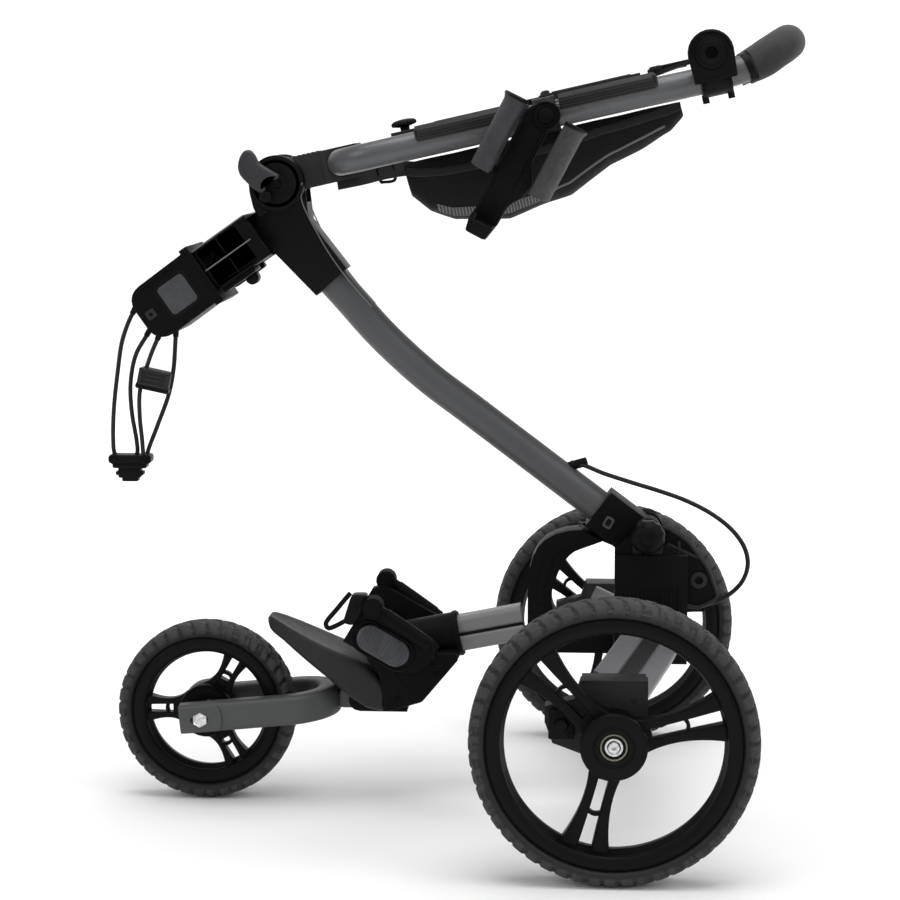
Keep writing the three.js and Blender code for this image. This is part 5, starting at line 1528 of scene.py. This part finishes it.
def makeBasket():
    rows, columns = basket["rows"], basket["columns"]
    s, t = np.meshgrid(np.linspace(0, 1, rows), np.linspace(0, 1, columns), indexing="ij")
    skin = basketSurface(s, t)
    # both ends close with panels that fold up from the floor
    ends = []
    for row in (skin[0], skin[-1]):
        u = np.linspace(0, 1, 26)[:, None, None]
        lean = 4.0 * np.sin(np.pi * u) * (1 if row is skin[-1] else -1)
        middle = row.mean(0) * (1, 0, 1) + (0, 0, 12)
        panel = row[None] * (1 - u) + middle * u
        panel[..., 0] += lean[..., 0] * 0.5
        ends.append(panel)
    shells = []
    for grid in [skin] + ends:
        points, faces = loft(grid, caps=False, closeColumns=False)
        r, c = grid.shape[:2]
        along = np.linspace(0, np.linalg.norm(np.diff(grid[:, c // 2], axis=0), axis=-1).sum() / 1000, r)
        uv = stripUv(r, c, along, closeColumns=False)
        girth = np.linalg.norm(np.diff(grid, axis=1), axis=-1).sum(1).mean()
        uv[:, 1] *= girth / 1000 * c / (c - 1)
        shells.append((points, faces, 0, uv))
    piece = addPiece("basket_cloth", handleShells(shells), cloth, "handle", "basket",
                     angle=70)
    wall = piece.modifiers.new("clothThickness", "SOLIDIFY")
    wall.thickness = basket["thick"] / 1000
    wall.offset = 0

    # edge binding, piping whose pale colour is partly its own and partly a painted highlight, and two netting
    # windows, each a strip laid on the cloth's own surface
    def onCloth(sAt, tAt, lift):
        sAt, tAt = np.asarray(sAt, float), np.asarray(tAt, float)
        here = basketSurface(sAt, tAt)
        ds = basketSurface(sAt + 0.003, tAt) - here
        dt = basketSurface(sAt, tAt + 0.003) - here
        normal = np.cross(ds, dt)
        normal /= np.linalg.norm(normal, axis=-1)[..., None] + 1e-9
        away = here - np.array([290, 0, -40])
        normal *= np.sign((normal * away).sum(-1))[..., None]
        return here + normal * lift
    k = np.linspace(0, 1, 120)
    drop = 0.13 + 0.1 * k
    pipes = [carried(onCloth(0.93 - 0.45 * k, drop if side < 0 else 1 - drop, 1.2), circle(1.3, 10),
                     up=(0, 1, 0))
             for side in (-1, 1)]
    piping = addPiece("basket_piping", handleShells(pipes), pipingClothAndHighlight, "handle",
                      angle=70)
    binding = [carried(onCloth(0.002 + 0.996 * k, np.full(120, edge), 1.0), roundedSquare(1.6, 4.2, 4, 16),
                       up=(0, 0, 1))
               for edge in (0.012, 0.988)]
    hem = addPiece("basket_binding", handleShells(binding), webbing, "handle", angle=70)
    nets = []
    for s0, s1, t0, t1 in ((0.08, 0.46, 0.2, 0.31), (0.08, 0.46, 0.69, 0.8)):
        ss, tt = np.meshgrid(np.linspace(s0, s1, 30), np.linspace(t0, t1, 18), indexing="ij")
        front, back = onCloth(ss, tt, 1.7), onCloth(ss, tt, 0.3)
        for face in (front, back):
            points, faces = loft(face, caps=False, closeColumns=False)
            uv = stripUv(30, 18, np.linspace(0, 0.08, 30), closeColumns=False)
            uv[:, 1] *= 0.035
            nets.append((points, faces, 0, uv))
    netting = addPiece("basket_nets", handleShells(nets), net, "handle", angle=70)

    # a webbing strap from the yoke back to the basket, with a sliding buckle
    strapPath = smoothPath([(64, -22, -14), (92, -30, -14.5), (122, -42, -14), (146, -52, -16),
                            (166, -59, -24),
                            (182, -62, -36)], 60)
    strap = carried(strapPath, roundedSquare(1.1, 8.0, 5, 20), up=(0, 0.2, 1))
    band = addPiece("basket_strap", handleShells([strap]), webbing, "handle", angle=60)
    ring = smoothPath([(112, -38, -24), (112, -38, -5), (128, -44, -5), (128, -44, -24), (112, -38, -24)],
                      60)
    buckle = addPiece("strap_buckle", handleShells([carried(ring, circle(1.7, 12), up=(0, 1, 0))]),
                      satinBlack, "handle",
             angle=60)
    # the cloth's area, skin and both end panels summed; the sum is not kept
    middle = columns // 2
    sum(gridArea(grid) for grid in [skin] + ends)


# the piping's pale colour: its own light cloth together with a painted highlight along it
pipingClothAndHighlight = wovenCloth("pipingClothAndHighlight", (0.1, 0.1, 0.105), (0.2, 0.2, 0.205), 500)
makeBasket()
print("cart: basket done")


# stage

def makeStage():
    # a pale floor that curves up into a back wall, lit by large soft panels
    reach, back = studio["floorReach"], 5.5
    a = np.linspace(0, np.pi / 2, 24)
    y = np.concatenate([np.linspace(-reach, back, 30), back + 2.5 * np.sin(a)[1:], np.full(8, back + 2.5)])
    z = np.concatenate([np.zeros(30), 2.5 * (1 - np.cos(a))[1:], np.linspace(2.7, 8, 8)])
    x = np.linspace(-reach, reach, 12)
    grid = np.stack(np.broadcast_arrays(x[None, :], y[:, None], z[:, None]), -1) - (0, 0, 0.0004)
    mesh = bpy.data.meshes.new("studioFloor")
    points, faces = loft(grid * 1000, caps=False, closeColumns=False)
    fillMesh(mesh, [(points, faces)])
    paper, tree, shader = newFinish("studioPaper", (0.93, 0.93, 0.93), 0.9, specular=0.2)
    tone = noiseAt(tree, coordinates(tree), 0.7, 2)
    tree.links.new(colourBetween(tree, tone, (0.925, 0.925, 0.925), (0.94, 0.94, 0.94)),
                   shader.inputs["Base Color"])
    mesh.materials.append(paper)
    mesh.shade_smooth()
    floor = bpy.data.objects.new("studioFloor", mesh)
    bpy.context.scene.collection.objects.link(floor)
    for name, at, aim, size, power in (
            ("softTop", (0.2, -0.3, 3.4), (0, 0, 0.3), 3.0, 92),
            ("softLeft", (-3.2, -2.2, 2.6), (0, 0, 0.4), 2.0, 30),
            ("softRight", (3.4, -1.8, 2.4), (0, 0, 0.4), 2.0, 34),
            ("softFront", (0.4, -4.6, 2.6), (0, 0, 0.4), 3.0, 22),
            ("wallWash", (0.0, 2.6, 4.6), (0, 8.0, 1.2), 5.0, 290)):
        lamp = bpy.data.lights.new(name, "AREA")
        lamp.size = size
        lamp.energy = power
        light = bpy.data.objects.new(name, lamp)
        light.location = at
        light.rotation_euler = (Vector(aim) - Vector(at)).to_track_quat("-Z", "Y").to_euler()
        bpy.context.scene.collection.objects.link(light)
    world = bpy.data.worlds.new("studioSky")
    world.use_nodes = True
    sky = world.node_tree.nodes["Background"]
    sky.inputs["Color"].default_value = (studio["skyWhite"],) * 3 + (1,)
    sky.inputs["Strength"].default_value = studio["skyFill"]
    bpy.context.scene.world = world


makeStage()
bpy.context.view_layer.update()
